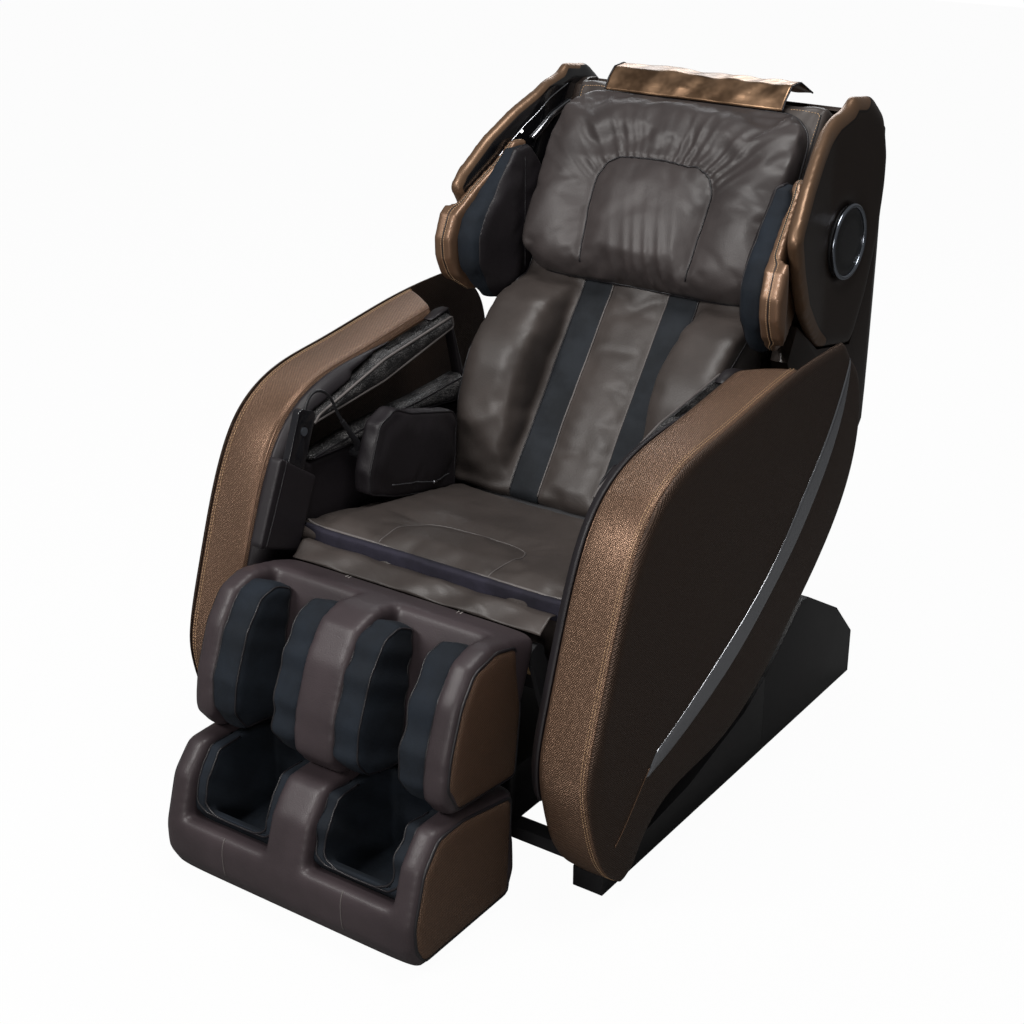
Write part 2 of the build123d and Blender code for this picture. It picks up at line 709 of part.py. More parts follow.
with BuildPart() as back_frame:
    for _, side in SIDES:
        side_block(
            back_line((30, FRAME_T[0]), (748, FRAME_T[0]), (748, FRAME_T[1]), (30, FRAME_T[1])),
            span(side, *FRAME_X),
        )
        plate = span(side, FRAME_X[1], ARM_PLATE_X[1])
        side_block(
            back_line((-18, -8), (-18, 40), (34, FRAME_T[1]), (PLATE_TOP, FRAME_T[1]), (PLATE_TOP, FRAME_T[0]),
                      (22, 12)),
            plate,
        )
        cross_rod(HIP_Y, HIP_Z, PIN_R + PIVOT_BOSS, plate)
        cross_rod(HIP_Y, HIP_Z, PIN_R, span(side, ARM_PLATE_X[1], BRACKET_X[1]))
    for s in (45.0, 735.0):
        side_block(
            back_line((s - 12, FRAME_T[0]), (s + 12, FRAME_T[0]), (s + 12, FRAME_T[1]), (s - 12, FRAME_T[1])),
            (-FRAME_X[1], FRAME_X[1]),
        )
    # torque tube along the hip pivot, with the crank that the back's actuator pulls
    cross_rod(HIP_Y, HIP_Z, PIN_R, (-FRAME_X[1], FRAME_X[1]))
    fork(BACK_X, BACK_END, hip((-12, 0), (12, 4), (48, -64), (30, -76)))
keep(back_frame.part, "back_frame")

# The cushion is deeper at the sides, where it wraps the sitter's waist.
with BuildPart() as back_cushion:
    low = PIN_R + 2.0
    side_block(
        back_line((low, -22), (120, -6), (245, 8), (392, 31), (762, 34), (762, 76), (40, 76), (low, 50)),
        (-back_half, back_half),
    )
    for _, side in SIDES:
        side_block(
            back_line((30, -22), (120, -64), (215, -78), (262, -74), (345, -40), (405, 31), (60, 31), (30, 20)),
            span(side, 128, back_half - 2),
        )
keep(back_cushion.part, "back_cushion")

with BuildPart() as pillow:
    side_block(
        back_line((428, -24), (520, -30), (640, -28), (735, -4), (742, 20), (738, 30.5), (412, 30.5), (408, 8)),
        (-232.0, 232.0),
    )
keep(pillow.part, "pillow")

with BuildPart() as pillow_flap:
    side_block(
        back_line((746, 20), (782, 24), (806, 58), (806, 108), (798, 108), (798, 62), (776, 32.5), (746, 32.5)),
        (-172.0, 172.0),
    )
keep(pillow_flap.part, "pillow_flap")

WING_SIDE = hip(
    (392, 661), (402, 676), (446, 668), (474, 666), (528, 625), (552, 560), (553, 496), (539, 407), (508, 318),
    (460, 236), (330, 262), (265, 310), (210, 355), (160, 425), (124, 494), (140, 520), (200, 574), (262, 614),
    (340, 652))
for side_name, side in SIDES:
    with BuildPart() as wing:
        side_block(WING_SIDE, span(side, 250, 360))
        bend = HIP_Y + 320
        tip = HIP_Y + 118
        plan_block(
            [
                (side * WING_OUTER, HIP_Y + 600),
                (side * WING_OUTER, bend),
                (side * WING_FLARE, tip),
                (side * (WING_FLARE - WING_WALL), tip),
                (side * (WING_OUTER - WING_WALL), bend),
                (side * (WING_OUTER - WING_WALL), HIP_Y + 600),
            ],
            ALL_Z,
        )
        cross_rod(HIP_Y + 400, HIP_Z + 434, 66 + CLEAR, span(side, WING_OUTER - 10, WING_OUTER), mode=Mode.SUBTRACT)
    keep(wing.part, f"wing_{side_name}")

with BuildPart() as speakers:
    for _, side in SIDES:
        cross_rod(HIP_Y + 400, HIP_Z + 434, 66, span(side, WING_OUTER - 10, WING_OUTER + 2))
keep(speakers.part, "speakers")

SHELL_SIDE = (
    (62, -12), (424, 634), (450, 642), (474, 640), (528, 612), (576, 560), (606, 450), (618, 359), (612, 280),
    (600, 200), (576, 120), (530, 62), (450, 10), (390, -15), (220, -28), (100, -28))
SHELL_REAR_R = 55.0
TAPER_Z = (HIP_Z + 60, HIP_Z + 150)
with BuildPart() as back_shell:
    side_block(hip(*SHELL_SIDE), (-shell_half, shell_half))
    plan_block(
        [
            (-shell_half, HIP_Y),
            (-shell_half, HIP_Y + 540),
            (-shell_half + 30, HIP_Y + 618),
            (shell_half - 30, HIP_Y + 618),
            (shell_half, HIP_Y + 540),
            (shell_half, HIP_Y),
        ],
        ALL_Z,
    )
    # narrower near the hips, where it swings between the arms
    for _, side in SIDES:
        waist = span(side, back_half + 13.5, shell_half)
        side_block(hip((0, -40), (0, 700), (95, 700), (200, 300), (345, 60), (345, -40)), waist, mode=Mode.SUBTRACT)
        side_block(WING_SIDE, span(side, WING_OUTER - WING_WALL, shell_half), mode=Mode.SUBTRACT)
    # hollow, and open towards the cushion
    inner = shell_half - 30 - SHELL_WALL
    side_block(
        hip((60, -5), (424, 628), (452, 636), (472, 633), (520, 608), (568, 556), (600, 450), (611, 359), (605, 284),
            (592, 206), (568, 128), (524, 72), (446, 18), (388, -8), (220, -21), (100, -21)),
        (-inner, inner),
        mode=Mode.SUBTRACT,
    )
    side_block(back_line((-60, -200), (790, -200), (790, 112), (-60, 112)), (-253, 253), mode=Mode.SUBTRACT)
keep(back_shell.part, "back_shell")

# shoulder pads: a firm rim outside, a soft cushion inside, both within the wings
wing_in = WING_OUTER - WING_WALL
wing_tip_in = WING_FLARE - WING_WALL
RIM_SIDE = hip(
    (96, 350), (82, 381), (80, 415), (97, 456), (146, 494), (218, 543), (236, 563), (262, 563), (282, 530),
    (276, 440), (240, 350), (180, 318), (130, 318))
PAD_SIDE = hip(
    (95, 372), (92, 420), (110, 460), (165, 512), (210, 556), (250, 556), (300, 500), (290, 420), (250, 340),
    (190, 308), (147, 306), (115, 340))
for side_name, side in SIDES:
    with BuildPart() as rim:
        side_block(RIM_SIDE, span(side, 240, 350))
        plan_block(
            [
                (side * (wing_tip_in + 18), HIP_Y + 70),
                (side * (wing_tip_in + 18), HIP_Y + 110),
                (side * (wing_tip_in - 2), HIP_Y + 118),
                (side * (wing_tip_in - 10), HIP_Y + 150),
                (side * (wing_in + 10), HIP_Y + 262),
                (side * (wing_in - 4), HIP_Y + 262),
                (side * (wing_tip_in - 27), HIP_Y + 150),
                (side * (wing_tip_in - 13), HIP_Y + 70),
            ],
            ALL_Z,
        )
    keep(rim.part, f"shoulder_rim_{side_name}")
    with BuildPart() as pad:
        side_block(PAD_SIDE, span(side, 230, 350))
        plan_block(
            [
                (side * (wing_tip_in - 14), HIP_Y + 70),
                (side * (wing_tip_in - 28), HIP_Y + 150),
                (side * (wing_in - 5), HIP_Y + 262),
                (side * (wing_in - 10), HIP_Y + 320),
                (side * (back_half + 4), HIP_Y + 320),
                (side * (back_half + 4), HIP_Y + 230),
                (side * (back_half + 23), HIP_Y + 70),
            ],
            ALL_Z,
        )
    keep(pad.part, f"shoulder_cushion_{side_name}")

# ---- massage mechanism behind the back cushion -------------------------------------------------
RAIL_X = (132.0, 150.0)
RAIL_S = (58.0, 722.0)
with BuildPart() as guide_rails:
    for _, side in SIDES:
        side_block(
            back_line((RAIL_S[0], 84), (RAIL_S[1], 84), (RAIL_S[1], 108), (RAIL_S[0], 108)),
            span(side, *RAIL_X),
        )
keep(guide_rails.part, "guide_rails")

CARRIAGE_S = 230.0
ROLLER_R = 26.0
ROLLER_X = 58.0
ROLLER_GAP = 80.0
axle_at = [up_back(CARRIAGE_S + d, 78.5 + ROLLER_R + 1) for d in (-ROLLER_GAP, ROLLER_GAP)]
with BuildPart() as roller_carriage:
    side_block(
        back_line(*[(CARRIAGE_S + s, t) for s, t in ((-100, 136), (100, 136), (85, 190), (-85, 190))]),
        (-110.0, 110.0),
    )
    for y, z in axle_at:
        cross_rod(y, z, 7.0, (-26, 26))
    for d in (-ROLLER_GAP, ROLLER_GAP):
        side_block(
            back_line(*[(CARRIAGE_S + d + s, t) for s, t in ((-9, 98), (9, 98), (16, 140), (-16, 140))]),
            (-26.0, 26.0),
        )
        for _, side in SIDES:
            cross_rod(*up_back(CARRIAGE_S + d, 78.5 + ROLLER_R + 1), 5.0, span(side, 26, ROLLER_X + 16))
    for _, side in SIDES:
        side_block(
            back_line(*[(CARRIAGE_S + s, t) for s, t in ((-60, 111), (60, 111), (60, 140), (-60, 140))]),
            span(side, 100, 164),
        )
keep(roller_carriage.part, "roller_carriage")

for name, d in (("lower_rollers", -ROLLER_GAP), ("upper_rollers", ROLLER_GAP)):
    with BuildPart() as rollers:
        for _, side in SIDES:
            at = up_back(CARRIAGE_S + d, 78.5 + ROLLER_R + 1)
            width = span(side, ROLLER_X - 14, ROLLER_X + 14)
            cross_rod(*at, ROLLER_R, width)
            cross_rod(*at, 5.0 + RUN_FIT, width, mode=Mode.SUBTRACT)
    keep(rollers.part, name)

with BuildPart() as air_pump:
    side_block(hip((380, 60), (500, 100), (540, 200), (420, 200)), (-120.0, 120.0), radius=14.0)
keep(air_pump.part, "air_pump")

# ---- leg rest -----------------------------------------------------------------------------------
CALF_SIDE = ((-8, 34), (-52, 49), (-111, 62), (-132, 62), (-165, 52), (-200, 5), (-227, -65), (-235, -110),
             (-235, -127), (-211, -158), (-62, -172), (-46, -60))
FOOT_SIDE = ((-66, -190), (-190, -166), (-252, -167), (-290, -209), (-316, -291), (-314, -330), (-293, -366),
             (-80, -366), (-62, -330))
WALL = 40.0  # outer walls of the leg rest
DIVIDER = 34.0  # half of the wall between the legs
well = (DIVIDER, leg_half - WALL)

with BuildPart() as calf_shell:
    side_block(knee(*CALF_SIDE), (-leg_half + 4, leg_half - 4))
    for _, side in SIDES:
        side_block(
            knee((-60, 80), (-260, 80), (-260, -190), (-130, -190), (-112, -60), (-90, 20)),
            span(side, *well),
            mode=Mode.SUBTRACT,
        )
        lug_x = span(side, KNEE_LUG_X[0] + 0.3, BEAM_X[0] - 0.3)
        side_block(knee((-60, -40), (-8, -16), (14, 0), (0, 16), (-60, 40)), lug_x)
        cross_rod(knee_y, KNEE_Z, 16.0, lug_x)
        cross_rod(knee_y, KNEE_Z, 8.0 + RUN_FIT, lug_x, mode=Mode.SUBTRACT)
        side_block(
            knee((-14, 60), (26, 60), (26, -40), (-14, -18)),
            span(side, BEAM_X[0] - 0.3, leg_half),
            mode=Mode.SUBTRACT,
        )
    fork(LEG_X, LEG_END, knee((-60, -50), (-60, -93), (14, -100), (30, -80)))
keep(calf_shell.part, "calf_shell")

SKIN = 4.0
with BuildPart() as calf_side_panels:
    for _, side in SIDES:
        side_block(
            knee((-62, 42), (-111, 54), (-160, 44), (-192, 2), (-218, -66), (-226, -112), (-205, -150), (-66, -164),
                 (-52, -60)),
            span(side, leg_half - SKIN, leg_half),
        )
keep(calf_side_panels.part, "calf_side_panels")

LINER = 46.0
with BuildPart() as calf_airbags:
    for _, side in SIDES:
        for near, far in ((well[0] + CLEAR, well[0] + LINER), (well[1] - LINER, well[1] - CLEAR)):
            side_block(
                knee((-96, 40), (-128, 56), (-161, 50), (-197, 5), (-226, -66), (-233, -114), (-210, -148),
                     (-136, -160), (-117, -60)),
                span(side, near, far),
            )
keep(calf_airbags.part, "calf_airbags")

with BuildPart() as foot_shell:
    side_block(knee(*FOOT_SIDE), (-leg_half + 4, leg_half - 4))
    for _, side in SIDES:
        side_block(
            knee((-100, -100), (-230, -100), (-340, -200), (-340, -262), (-275, -285), (-262, -340), (-104, -340)),
            span(side, *well),
            mode=Mode.SUBTRACT,
        )
keep(foot_shell.part, "foot_shell")

with BuildPart() as foot_side_panels:
    for _, side in SIDES:
        side_block(
            knee((-74, -198), (-190, -175), (-248, -176), (-282, -214), (-306, -292), (-304, -328), (-288, -357),
                 (-84, -357)),
            span(side, leg_half - SKIN, leg_half),
        )
keep(foot_side_panels.part, "foot_side_panels")

for side_name, side in SIDES:
    with BuildPart() as foot_liner:
        side_block(
            knee((-104, -190), (-190, -174), (-246, -174), (-276, -215), (-288, -262), (-275, -284), (-262, -340),
                 (-104, -340)),
            span(side, well[0] + CLEAR, well[1] - CLEAR),
        )
        side_block(
            knee((-124, -100), (-240, -100), (-310, -200), (-310, -250), (-268, -266), (-240, -322), (-124, -322)),
            span(side, well[0] + 22, well[1] - 22),
            mode=Mode.SUBTRACT,
        )
    keep(foot_liner.part, f"foot_liner_{side_name}")
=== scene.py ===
"""Looks of a full-body massage chair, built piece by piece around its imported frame, in metres."""

from math import cos, pi, radians, sin, tau

import bmesh
import bpy
import numpy as np
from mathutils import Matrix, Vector, geometry, kdtree
from mathutils.bvhtree import BVHTree


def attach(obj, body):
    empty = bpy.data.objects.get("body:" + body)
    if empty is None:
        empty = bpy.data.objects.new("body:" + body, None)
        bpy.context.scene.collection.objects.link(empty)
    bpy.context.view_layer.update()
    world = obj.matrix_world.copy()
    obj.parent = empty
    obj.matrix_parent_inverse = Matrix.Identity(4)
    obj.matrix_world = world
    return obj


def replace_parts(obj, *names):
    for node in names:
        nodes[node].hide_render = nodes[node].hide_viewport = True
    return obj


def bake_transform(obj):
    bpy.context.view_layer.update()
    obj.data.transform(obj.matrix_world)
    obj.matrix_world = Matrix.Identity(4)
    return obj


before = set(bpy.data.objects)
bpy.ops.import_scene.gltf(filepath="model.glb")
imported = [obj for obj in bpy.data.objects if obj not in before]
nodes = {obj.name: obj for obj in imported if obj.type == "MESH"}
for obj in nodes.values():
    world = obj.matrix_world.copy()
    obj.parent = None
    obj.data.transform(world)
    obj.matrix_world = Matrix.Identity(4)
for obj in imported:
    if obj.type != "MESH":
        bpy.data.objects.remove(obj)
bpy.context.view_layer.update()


# ---- Camera, floor and studio light ------------------------------------------------------------
# The chair stands alone on a white sweep and is seen from its left front, a little above it.
# Two big soft boxes light it from above, and a low strip draws the sheen along the arms.
def paint(obj, *materials):
    """Gives the object these materials in place of what it has."""
    obj.data.materials.clear()
    for material in materials:
        obj.data.materials.append(material)
    return obj


lens = bpy.data.cameras.new("camera")
lens.lens = 62.79
lens.clip_end = 60.0
camera = bpy.data.objects.new("camera", lens)
camera.location = (1.4991, -2.2513, 1.6)
camera.rotation_euler = (radians(66.3), 0.0, radians(34.84))
bpy.context.scene.collection.objects.link(camera)
bpy.context.scene.camera = camera

white = bpy.data.materials.new("studio_white")
white.use_nodes = True
white.node_tree.nodes["Principled BSDF"].inputs["Base Color"].default_value = (0.16, 0.16, 0.16, 1)
white.node_tree.nodes["Principled BSDF"].inputs["Roughness"].default_value = 0.9
board = white.node_tree
glare = board.nodes.new("ShaderNodeEmission")
glare.inputs["Color"].default_value = (1, 1, 1, 1)
glare.inputs["Strength"].default_value = 1.1
over = board.nodes.new("ShaderNodeMixShader")
path = board.nodes.new("ShaderNodeLightPath")
share = board.nodes.new("ShaderNodeMath")
share.operation = "MULTIPLY"
share.inputs[1].default_value = 0.88
board.links.new(path.outputs["Is Camera Ray"], share.inputs[0])
board.links.new(share.outputs[0], over.inputs[0])
board.links.new(board.nodes["Principled BSDF"].outputs[0], over.inputs[1])
board.links.new(glare.outputs[0], over.inputs[2])
board.links.new(over.outputs[0], board.nodes["Material Output"].inputs[0])
sweep = bpy.data.meshes.new("studio_floor")
sweep.from_pydata([(-9, -9, 0), (9, -9, 0), (9, 9, 0), (-9, 9, 0)], [], [(0, 1, 2, 3)])
floor = bpy.data.objects.new("studio_floor", sweep)
bpy.context.scene.collection.objects.link(floor)
paint(floor, white)

for name, place, aim, size, power, tint in (
    ("key_light", (-0.9, -2.7, 2.7), (0.1, -0.1, 0.5), (1.2, 0.8), 72, (1.0, 0.98, 0.96)),
    ("top_light", (0.5, -0.3, 3.2), (0, -0.1, 0.5), (1.2, 0.9), 46, (1.0, 0.99, 0.97)),
    ("front_light", (1.5, -3.0, 1.0), (0.1, -0.3, 0.35), (0.9, 0.9), 20, (1.0, 0.96, 0.93)),
    ("rim_light", (-1.2, 2.6, 2.2), (0, 0, 0.8), (1.6, 0.8), 26, (0.96, 0.98, 1.0)),
):
    glow = bpy.data.lights.new(name, "AREA")
    glow.shape = "RECTANGLE"
    glow.size, glow.size_y = size
    glow.energy = power
    glow.color = tint
    lamp = bpy.data.objects.new(name, glow)
    lamp.location = place
    lamp.rotation_euler = (Vector(aim) - Vector(place)).to_track_quat("-Z", "Y").to_euler()
    bpy.context.scene.collection.objects.link(lamp)

air = bpy.data.worlds.new("studio_air")
air.use_nodes = True
air.node_tree.nodes["Background"].inputs["Color"].default_value = (1, 1, 1, 1)
backdrop = air.node_tree.nodes["Background"]
seen = air.node_tree.nodes.new("ShaderNodeLightPath")
level = air.node_tree.nodes.new("ShaderNodeMapRange")
level.inputs["To Min"].default_value = 0.16
level.inputs["To Max"].default_value = 1.0
air.node_tree.links.new(seen.outputs["Is Camera Ray"], level.inputs["Value"])
air.node_tree.links.new(level.outputs["Result"], backdrop.inputs["Strength"])
bpy.context.scene.world = air
bpy.context.scene.view_settings.view_transform = "Standard"


# ---- Handset cord ------------------------------------------------------------------------------
# A limp black lead in a soft jacket, 5 mm thick. It loops over from the top of the handset and
# goes down into a tapered sleeve on the inside of the arm.
class Socket:
    """One value in a material. Arithmetic on it adds the Math nodes."""

    def __init__(self, tree, plug):
        self.tree = tree
        self.plug = plug

    def node(self, kind, settings=None, inputs=None, output=0):
        """Adds any other node: its settings first, then the values or links of its sockets."""
        made = self.tree.nodes.new(kind)
        for name, value in (settings or {}).items():
            if name == "stops":
                ramp = made.color_ramp.elements
                while len(ramp) < len(value):
                    ramp.new(0.5)
                for stop, (place, shade) in zip(ramp, value):
                    stop.position = place
                    stop.color = (*shade, 1.0)
            else:
                setattr(made, name, value)
        for key, value in (inputs or {}).items():
            if isinstance(value, Socket):
                self.tree.links.new(value.plug, made.inputs[key])
            elif isinstance(value, tuple) and len(value) == 3 and made.inputs[key].type == "RGBA":
                made.inputs[key].default_value = (*value, 1.0)
            else:
                made.inputs[key].default_value = value
        return Socket(self.tree, made.outputs[output])

    def math(self, operation, *terms):
        return self.node("ShaderNodeMath", {"operation": operation}, dict(enumerate((self, *terms))))

    def blur_step(self, low, high):
        """0 below low, 1 above high, smooth between."""
        return self.node(
            "ShaderNodeMapRange",
            {"interpolation_type": "SMOOTHSTEP"},
            {"Value": self, "From Min": low, "From Max": high},
        )

    def __add__(self, other):
        return self.math("ADD", other)

    def __sub__(self, other):
        return self.math("SUBTRACT", other)

    def __rsub__(self, other):
        return self.node("ShaderNodeMath", {"operation": "SUBTRACT"}, {0: other, 1: self})

    def __mul__(self, other):
        return self.math("MULTIPLY", other)

    __radd__ = __add__
    __rmul__ = __mul__


class Finish:
    """A material being written: where its pattern is read from, and its surface at the end."""

    def __init__(self, name, coords="Object"):
        self.material = bpy.data.materials.new(name)
        self.material.use_nodes = True
        self.tree = self.material.node_tree
        self.surface = self.tree.nodes["Principled BSDF"]
        origin = self.tree.nodes.new("ShaderNodeTexCoord")
        self.place = Socket(self.tree, origin.outputs[coords])

    def noise(self, scale, detail=3.0, rough=0.55, place=None, output=0):
        values = {"Vector": place or self.place, "Scale": scale, "Detail": detail, "Roughness": rough}
        return self.place.node("ShaderNodeTexNoise", {}, values, output)

    def cells(self, scale, feature="F1", randomness=1.0, place=None):
        values = {"Vector": place or self.place, "Scale": scale, "Randomness": randomness}
        return self.place.node("ShaderNodeTexVoronoi", {"feature": feature}, values)

    def mix(self, factor, first, second):
        """Two colours mixed by a value."""
        return self.place.node(
            "ShaderNodeMix", {"data_type": "RGBA"}, {0: factor, 6: first, 7: second}, output=2
        )

    def bump(self, height, strength, depth):
        return self.place.node(
            "ShaderNodeBump", {}, {"Height": height, "Strength": strength, "Distance": depth}
        )

    def done(self, **sockets):
        """Sets the surface: Base_Color=... links or values, and returns the material."""
        for name, value in sockets.items():
            plug = self.surface.inputs[name.replace("_", " ")]
            if isinstance(value, Socket):
                self.tree.links.new(value.plug, plug)
            elif isinstance(value, tuple):
                plug.default_value = (*value, 1.0)
            else:
                plug.default_value = value
        return self.material


def rubber(name, shade, rough):
    """Matt moulded rubber with a faint uneven bloom."""
    f = Finish(name)
    bloom = f.noise(60.0, 4.0)
    colour = f.mix(bloom, shade, tuple(c * 1.7 + 0.004 for c in shade))
    return f.done(
        Base_Color=colour,
        Roughness=bloom * 0.2 + (rough - 0.1),
        Normal=f.bump(f.noise(900.0, 2.0), 0.25, 0.0002),
        Specular_IOR_Level=0.4,
    )


cord_rubber = rubber("cord_rubber", (0.012, 0.012, 0.014), 0.45)
CORD_WIDTH = 0.005
# from the handset's top, over in one loop, down into the sleeve
CORD_ROUTE = (
    (-0.254, -0.2955, 0.630),
    (-0.254, -0.2896, 0.6443),
    (-0.2525, -0.2735, 0.655),
    (-0.2505, -0.2525, 0.648),
    (-0.2495, -0.2365, 0.630),
    (-0.2495, -0.2255, 0.6026),
    (-0.2495, -0.2145, 0.587),
)
lead = bpy.data.curves.new("handset_lead", "CURVE")
lead.dimensions = "3D"
lead.bevel_depth = CORD_WIDTH / 2
lead.bevel_resolution = 4
lead.resolution_u = 10
strand = lead.splines.new("NURBS")
strand.points.add(len(CORD_ROUTE) - 1)
for point, place in zip(strand.points, CORD_ROUTE):
    point.co = (*place, 1.0)
strand.order_u = 3
strand.use_endpoint_u = True
cord = bpy.data.objects.new("handset_lead", lead)
bpy.context.scene.collection.objects.link(cord)
lead.materials.append(cord_rubber)
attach(cord, "seat")
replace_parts(cord, "handset_cord")


# ---- Base frame and drive ----------------------------------------------------------------------
# Welded steel tube with black powder coat: skids, cross tubes, seat frame, back frame and the
# roller carriage. The motors have cast black housings, and their rods are ground bright.
def coat(name, shade, rough, fleck=1400.0, metal=0.0):
    """Powder coat or moulded plastic: fine orange peel, slight unevenness."""
    f = Finish(name)
    patch = f.noise(9.0, 3.0)
    colour = f.mix(patch, shade, tuple(c * 1.5 + 0.003 for c in shade))
    return f.done(
        Base_Color=colour,
        Metallic=metal,
        Roughness=patch * 0.12 + (rough - 0.06),
        Normal=f.bump(f.noise(fleck, 2.0), 0.18, 0.0003),
    )


def brushed(name, shade, rough):
    """Ground or brushed steel: fine lines across the piece."""
    f = Finish(name)
    lines = f.noise(
        90.0, 2.0, place=f.place.node("ShaderNodeMapping", {}, {"Vector": f.place, "Scale": (1, 30, 30)})
    )
    return f.done(
        Base_Color=f.mix(lines, shade, tuple(c * 0.8 for c in shade)),
        Metallic=1.0,
        Roughness=lines * 0.15 + rough,
        Normal=f.bump(lines, 0.08, 0.0002),
    )


steel_coat = coat("powder_coat", (0.018, 0.018, 0.02), 0.5)
motor_black = coat("motor_housing", (0.02, 0.02, 0.022), 0.42, fleck=900.0)
ground_steel = brushed("ground_steel", (0.6, 0.6, 0.61), 0.22)
roller_rubber = rubber("roller_rubber", (0.03, 0.029, 0.028), 0.6)

for node in ("base_frame", "seat_frame", "back_frame", "guide_rails", "roller_carriage"):
    paint(nodes[node], steel_coat)
for node in ("tilt_motor", "back_motor", "leg_motor", "air_pump"):
    paint(nodes[node], motor_black)
for node in ("tilt_rod", "back_rod", "leg_rod", "wheel_axles"):
    paint(nodes[node], ground_steel)
for node in ("lower_rollers", "upper_rollers", "rubber_feet"):
    paint(nodes[node], roller_rubber)

ply = Finish("plywood")
rings = ply.place.node(
    "ShaderNodeTexWave", {"bands_direction": "Z"}, {"Vector": ply.place, "Scale": 60.0, "Distortion": 3.0}
)
paint(
    nodes["seat_pan"],
    ply.done(
        Base_Color=ply.mix(rings, (0.5, 0.35, 0.2), (0.36, 0.23, 0.12)),
        Roughness=rings * 0.2 + 0.5,
        Normal=ply.bump(rings, 0.2, 0.0004),
    ),
)


# ---- Skid covers and rear housings --------------------------------------------------------------
# Satin black moulded covers over the steel skids, a long low one in front and a tall hump behind
# that holds the transport wheel. Their edges are rounded for the hand.
def merged(node):
    """A joined-up copy of a CAD node's mesh, as a bmesh."""
    form = bmesh.new()
    form.from_mesh(nodes[node].data)
    bmesh.ops.remove_doubles(form, verts=form.verts, dist=1e-6)
    return form


def piece(name, form):
    """A bmesh made an object with smooth faces."""
    mesh = bpy.data.meshes.new(name)
    for face in form.faces:
        face.smooth = True
    form.to_mesh(mesh)
    form.free()
    made = bpy.data.objects.new(name, mesh)
    bpy.context.scene.collection.objects.link(made)
    return made


def settle(obj):
    """Applies the object's modifiers."""
    bpy.context.view_layer.update()
    view = bpy.context.evaluated_depsgraph_get()
    mesh = bpy.data.meshes.new_from_object(obj.evaluated_get(view), depsgraph=view)
    obj.modifiers.clear()
    obj.data = mesh
    return obj


def eased(name, node, ease, steps=3):
    """A copy of a rigid node with its edges rounded to the radius ease."""
    form = merged(node)
    bmesh.ops.dissolve_limit(form, angle_limit=radians(1.0), verts=form.verts, edges=form.edges)
    sharp = [e for e in form.edges if len(e.link_faces) == 2 and e.calc_face_angle() > radians(25)]
    bmesh.ops.bevel(
        form, geom=sharp, offset=ease, segments=steps, profile=0.5, affect="EDGES", clamp_overlap=True
    )
    made = piece(name, form)
    made.data.set_sharp_from_angle(angle=radians(35))
    return made


def belongs(obj, body, finish_slot, *replaced):
    """Puts a finished piece on its body, in place of its nodes. finish_slot is not used."""
    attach(obj, body)
    if replaced:
        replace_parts(obj, *replaced)
    return obj


base_plastic = coat("base_plastic", (0.008, 0.008, 0.009), 0.38, fleck=700.0)
belongs(
    paint(eased("skid_cover_pair", "skid_covers", 0.006), base_plastic), "base", "base_plastic", "skid_covers"
)
belongs(
    paint(eased("rear_housing_pair", "rear_housings", 0.009, 4), base_plastic),
    "base",
    "base_plastic",
    "rear_housings",
)


# ---- Transport wheels --------------------------------------------------------------------------
# Two hard rubber tyres moulded on nylon hubs, half sunk in the rear housings, that let one
# person roll the chair when its front is lifted.
tyre = rubber("tyre_rubber", (0.02, 0.02, 0.02), 0.7)
for side_name in ("left", "right"):
    paint(nodes[f"transport_wheel_{side_name}"], tyre)


# ---- Control box, mains inlet and switch ---------------------------------------------------------
# A moulded black box on the cross tubes. In its back face sit a three-pin inlet and a rocker
# switch in glossy plastic.
def gloss(name, shade, rough=0.12):
    """Polished moulding with a hard clear coat and faint swirl marks."""
    f = Finish(name)
    swirl = f.noise(35.0, 5.0)
    return f.done(
        Base_Color=f.mix(swirl, shade, tuple(c * 1.4 + 0.002 for c in shade)),
        Roughness=swirl * 0.1 + rough,
        Coat_Weight=0.6,
        Coat_Roughness=0.06,
        Normal=f.bump(f.noise(500.0, 1.0), 0.03, 0.0002),
    )


black_gloss = gloss("black_gloss", (0.006, 0.006, 0.008))
belongs(
    paint(eased("control_case", "control_box", 0.005), base_plastic), "base", "base_plastic", "control_box"
)
for node in ("power_inlet", "power_switch"):
    paint(nodes[node], black_gloss)


# ---- Arm side panels ----------------------------------------------------------------------------
# A pressed fairing on each outer side, with a fin that reaches back beside the reclining back. It
# is covered in dark bronze leatherette, embossed with fine rows, and glued around its rounded rim.
def chained(edges):
    """Closed loops of (y, z) points from a bag of edges, the longest first."""
    links = {}
    for edge in edges:
        a, b = edge.verts
        links.setdefault(a, []).append(b)
        links.setdefault(b, []).append(a)
    loops = []
    while links:
        here = next(iter(links))
        before = None
        loop = []
        while here in links:
            options = links.pop(here)
            ahead = options[0] if options[0] is not before else options[-1]
            loop.append((here.co.y, here.co.z))
            before, here = here, ahead
        loops.append(turned_left(np.array(loop)))
    return sorted(loops, key=lambda loop: -abs(area_of(loop)))


def area_of(loop):
    ahead = np.roll(loop, -1, 0)
    return 0.5 * np.sum(loop[:, 0] * ahead[:, 1] - ahead[:, 0] * loop[:, 1])


def turned_left(loop):
    """The loop in anticlockwise order."""
    return loop if area_of(loop) > 0 else loop[::-1]


def caps(node, x):
    """The outlines (y, z) of a CAD node's flat faces at this x."""
    form = merged(node)
    flat = {f for f in form.faces if all(abs(v.co.x - x) < 2e-5 for v in f.verts)}
    rims = [e for e in form.edges if sum(f in flat for f in e.link_faces) == 1]
    loops = chained(rims)
    form.free()
    return loops


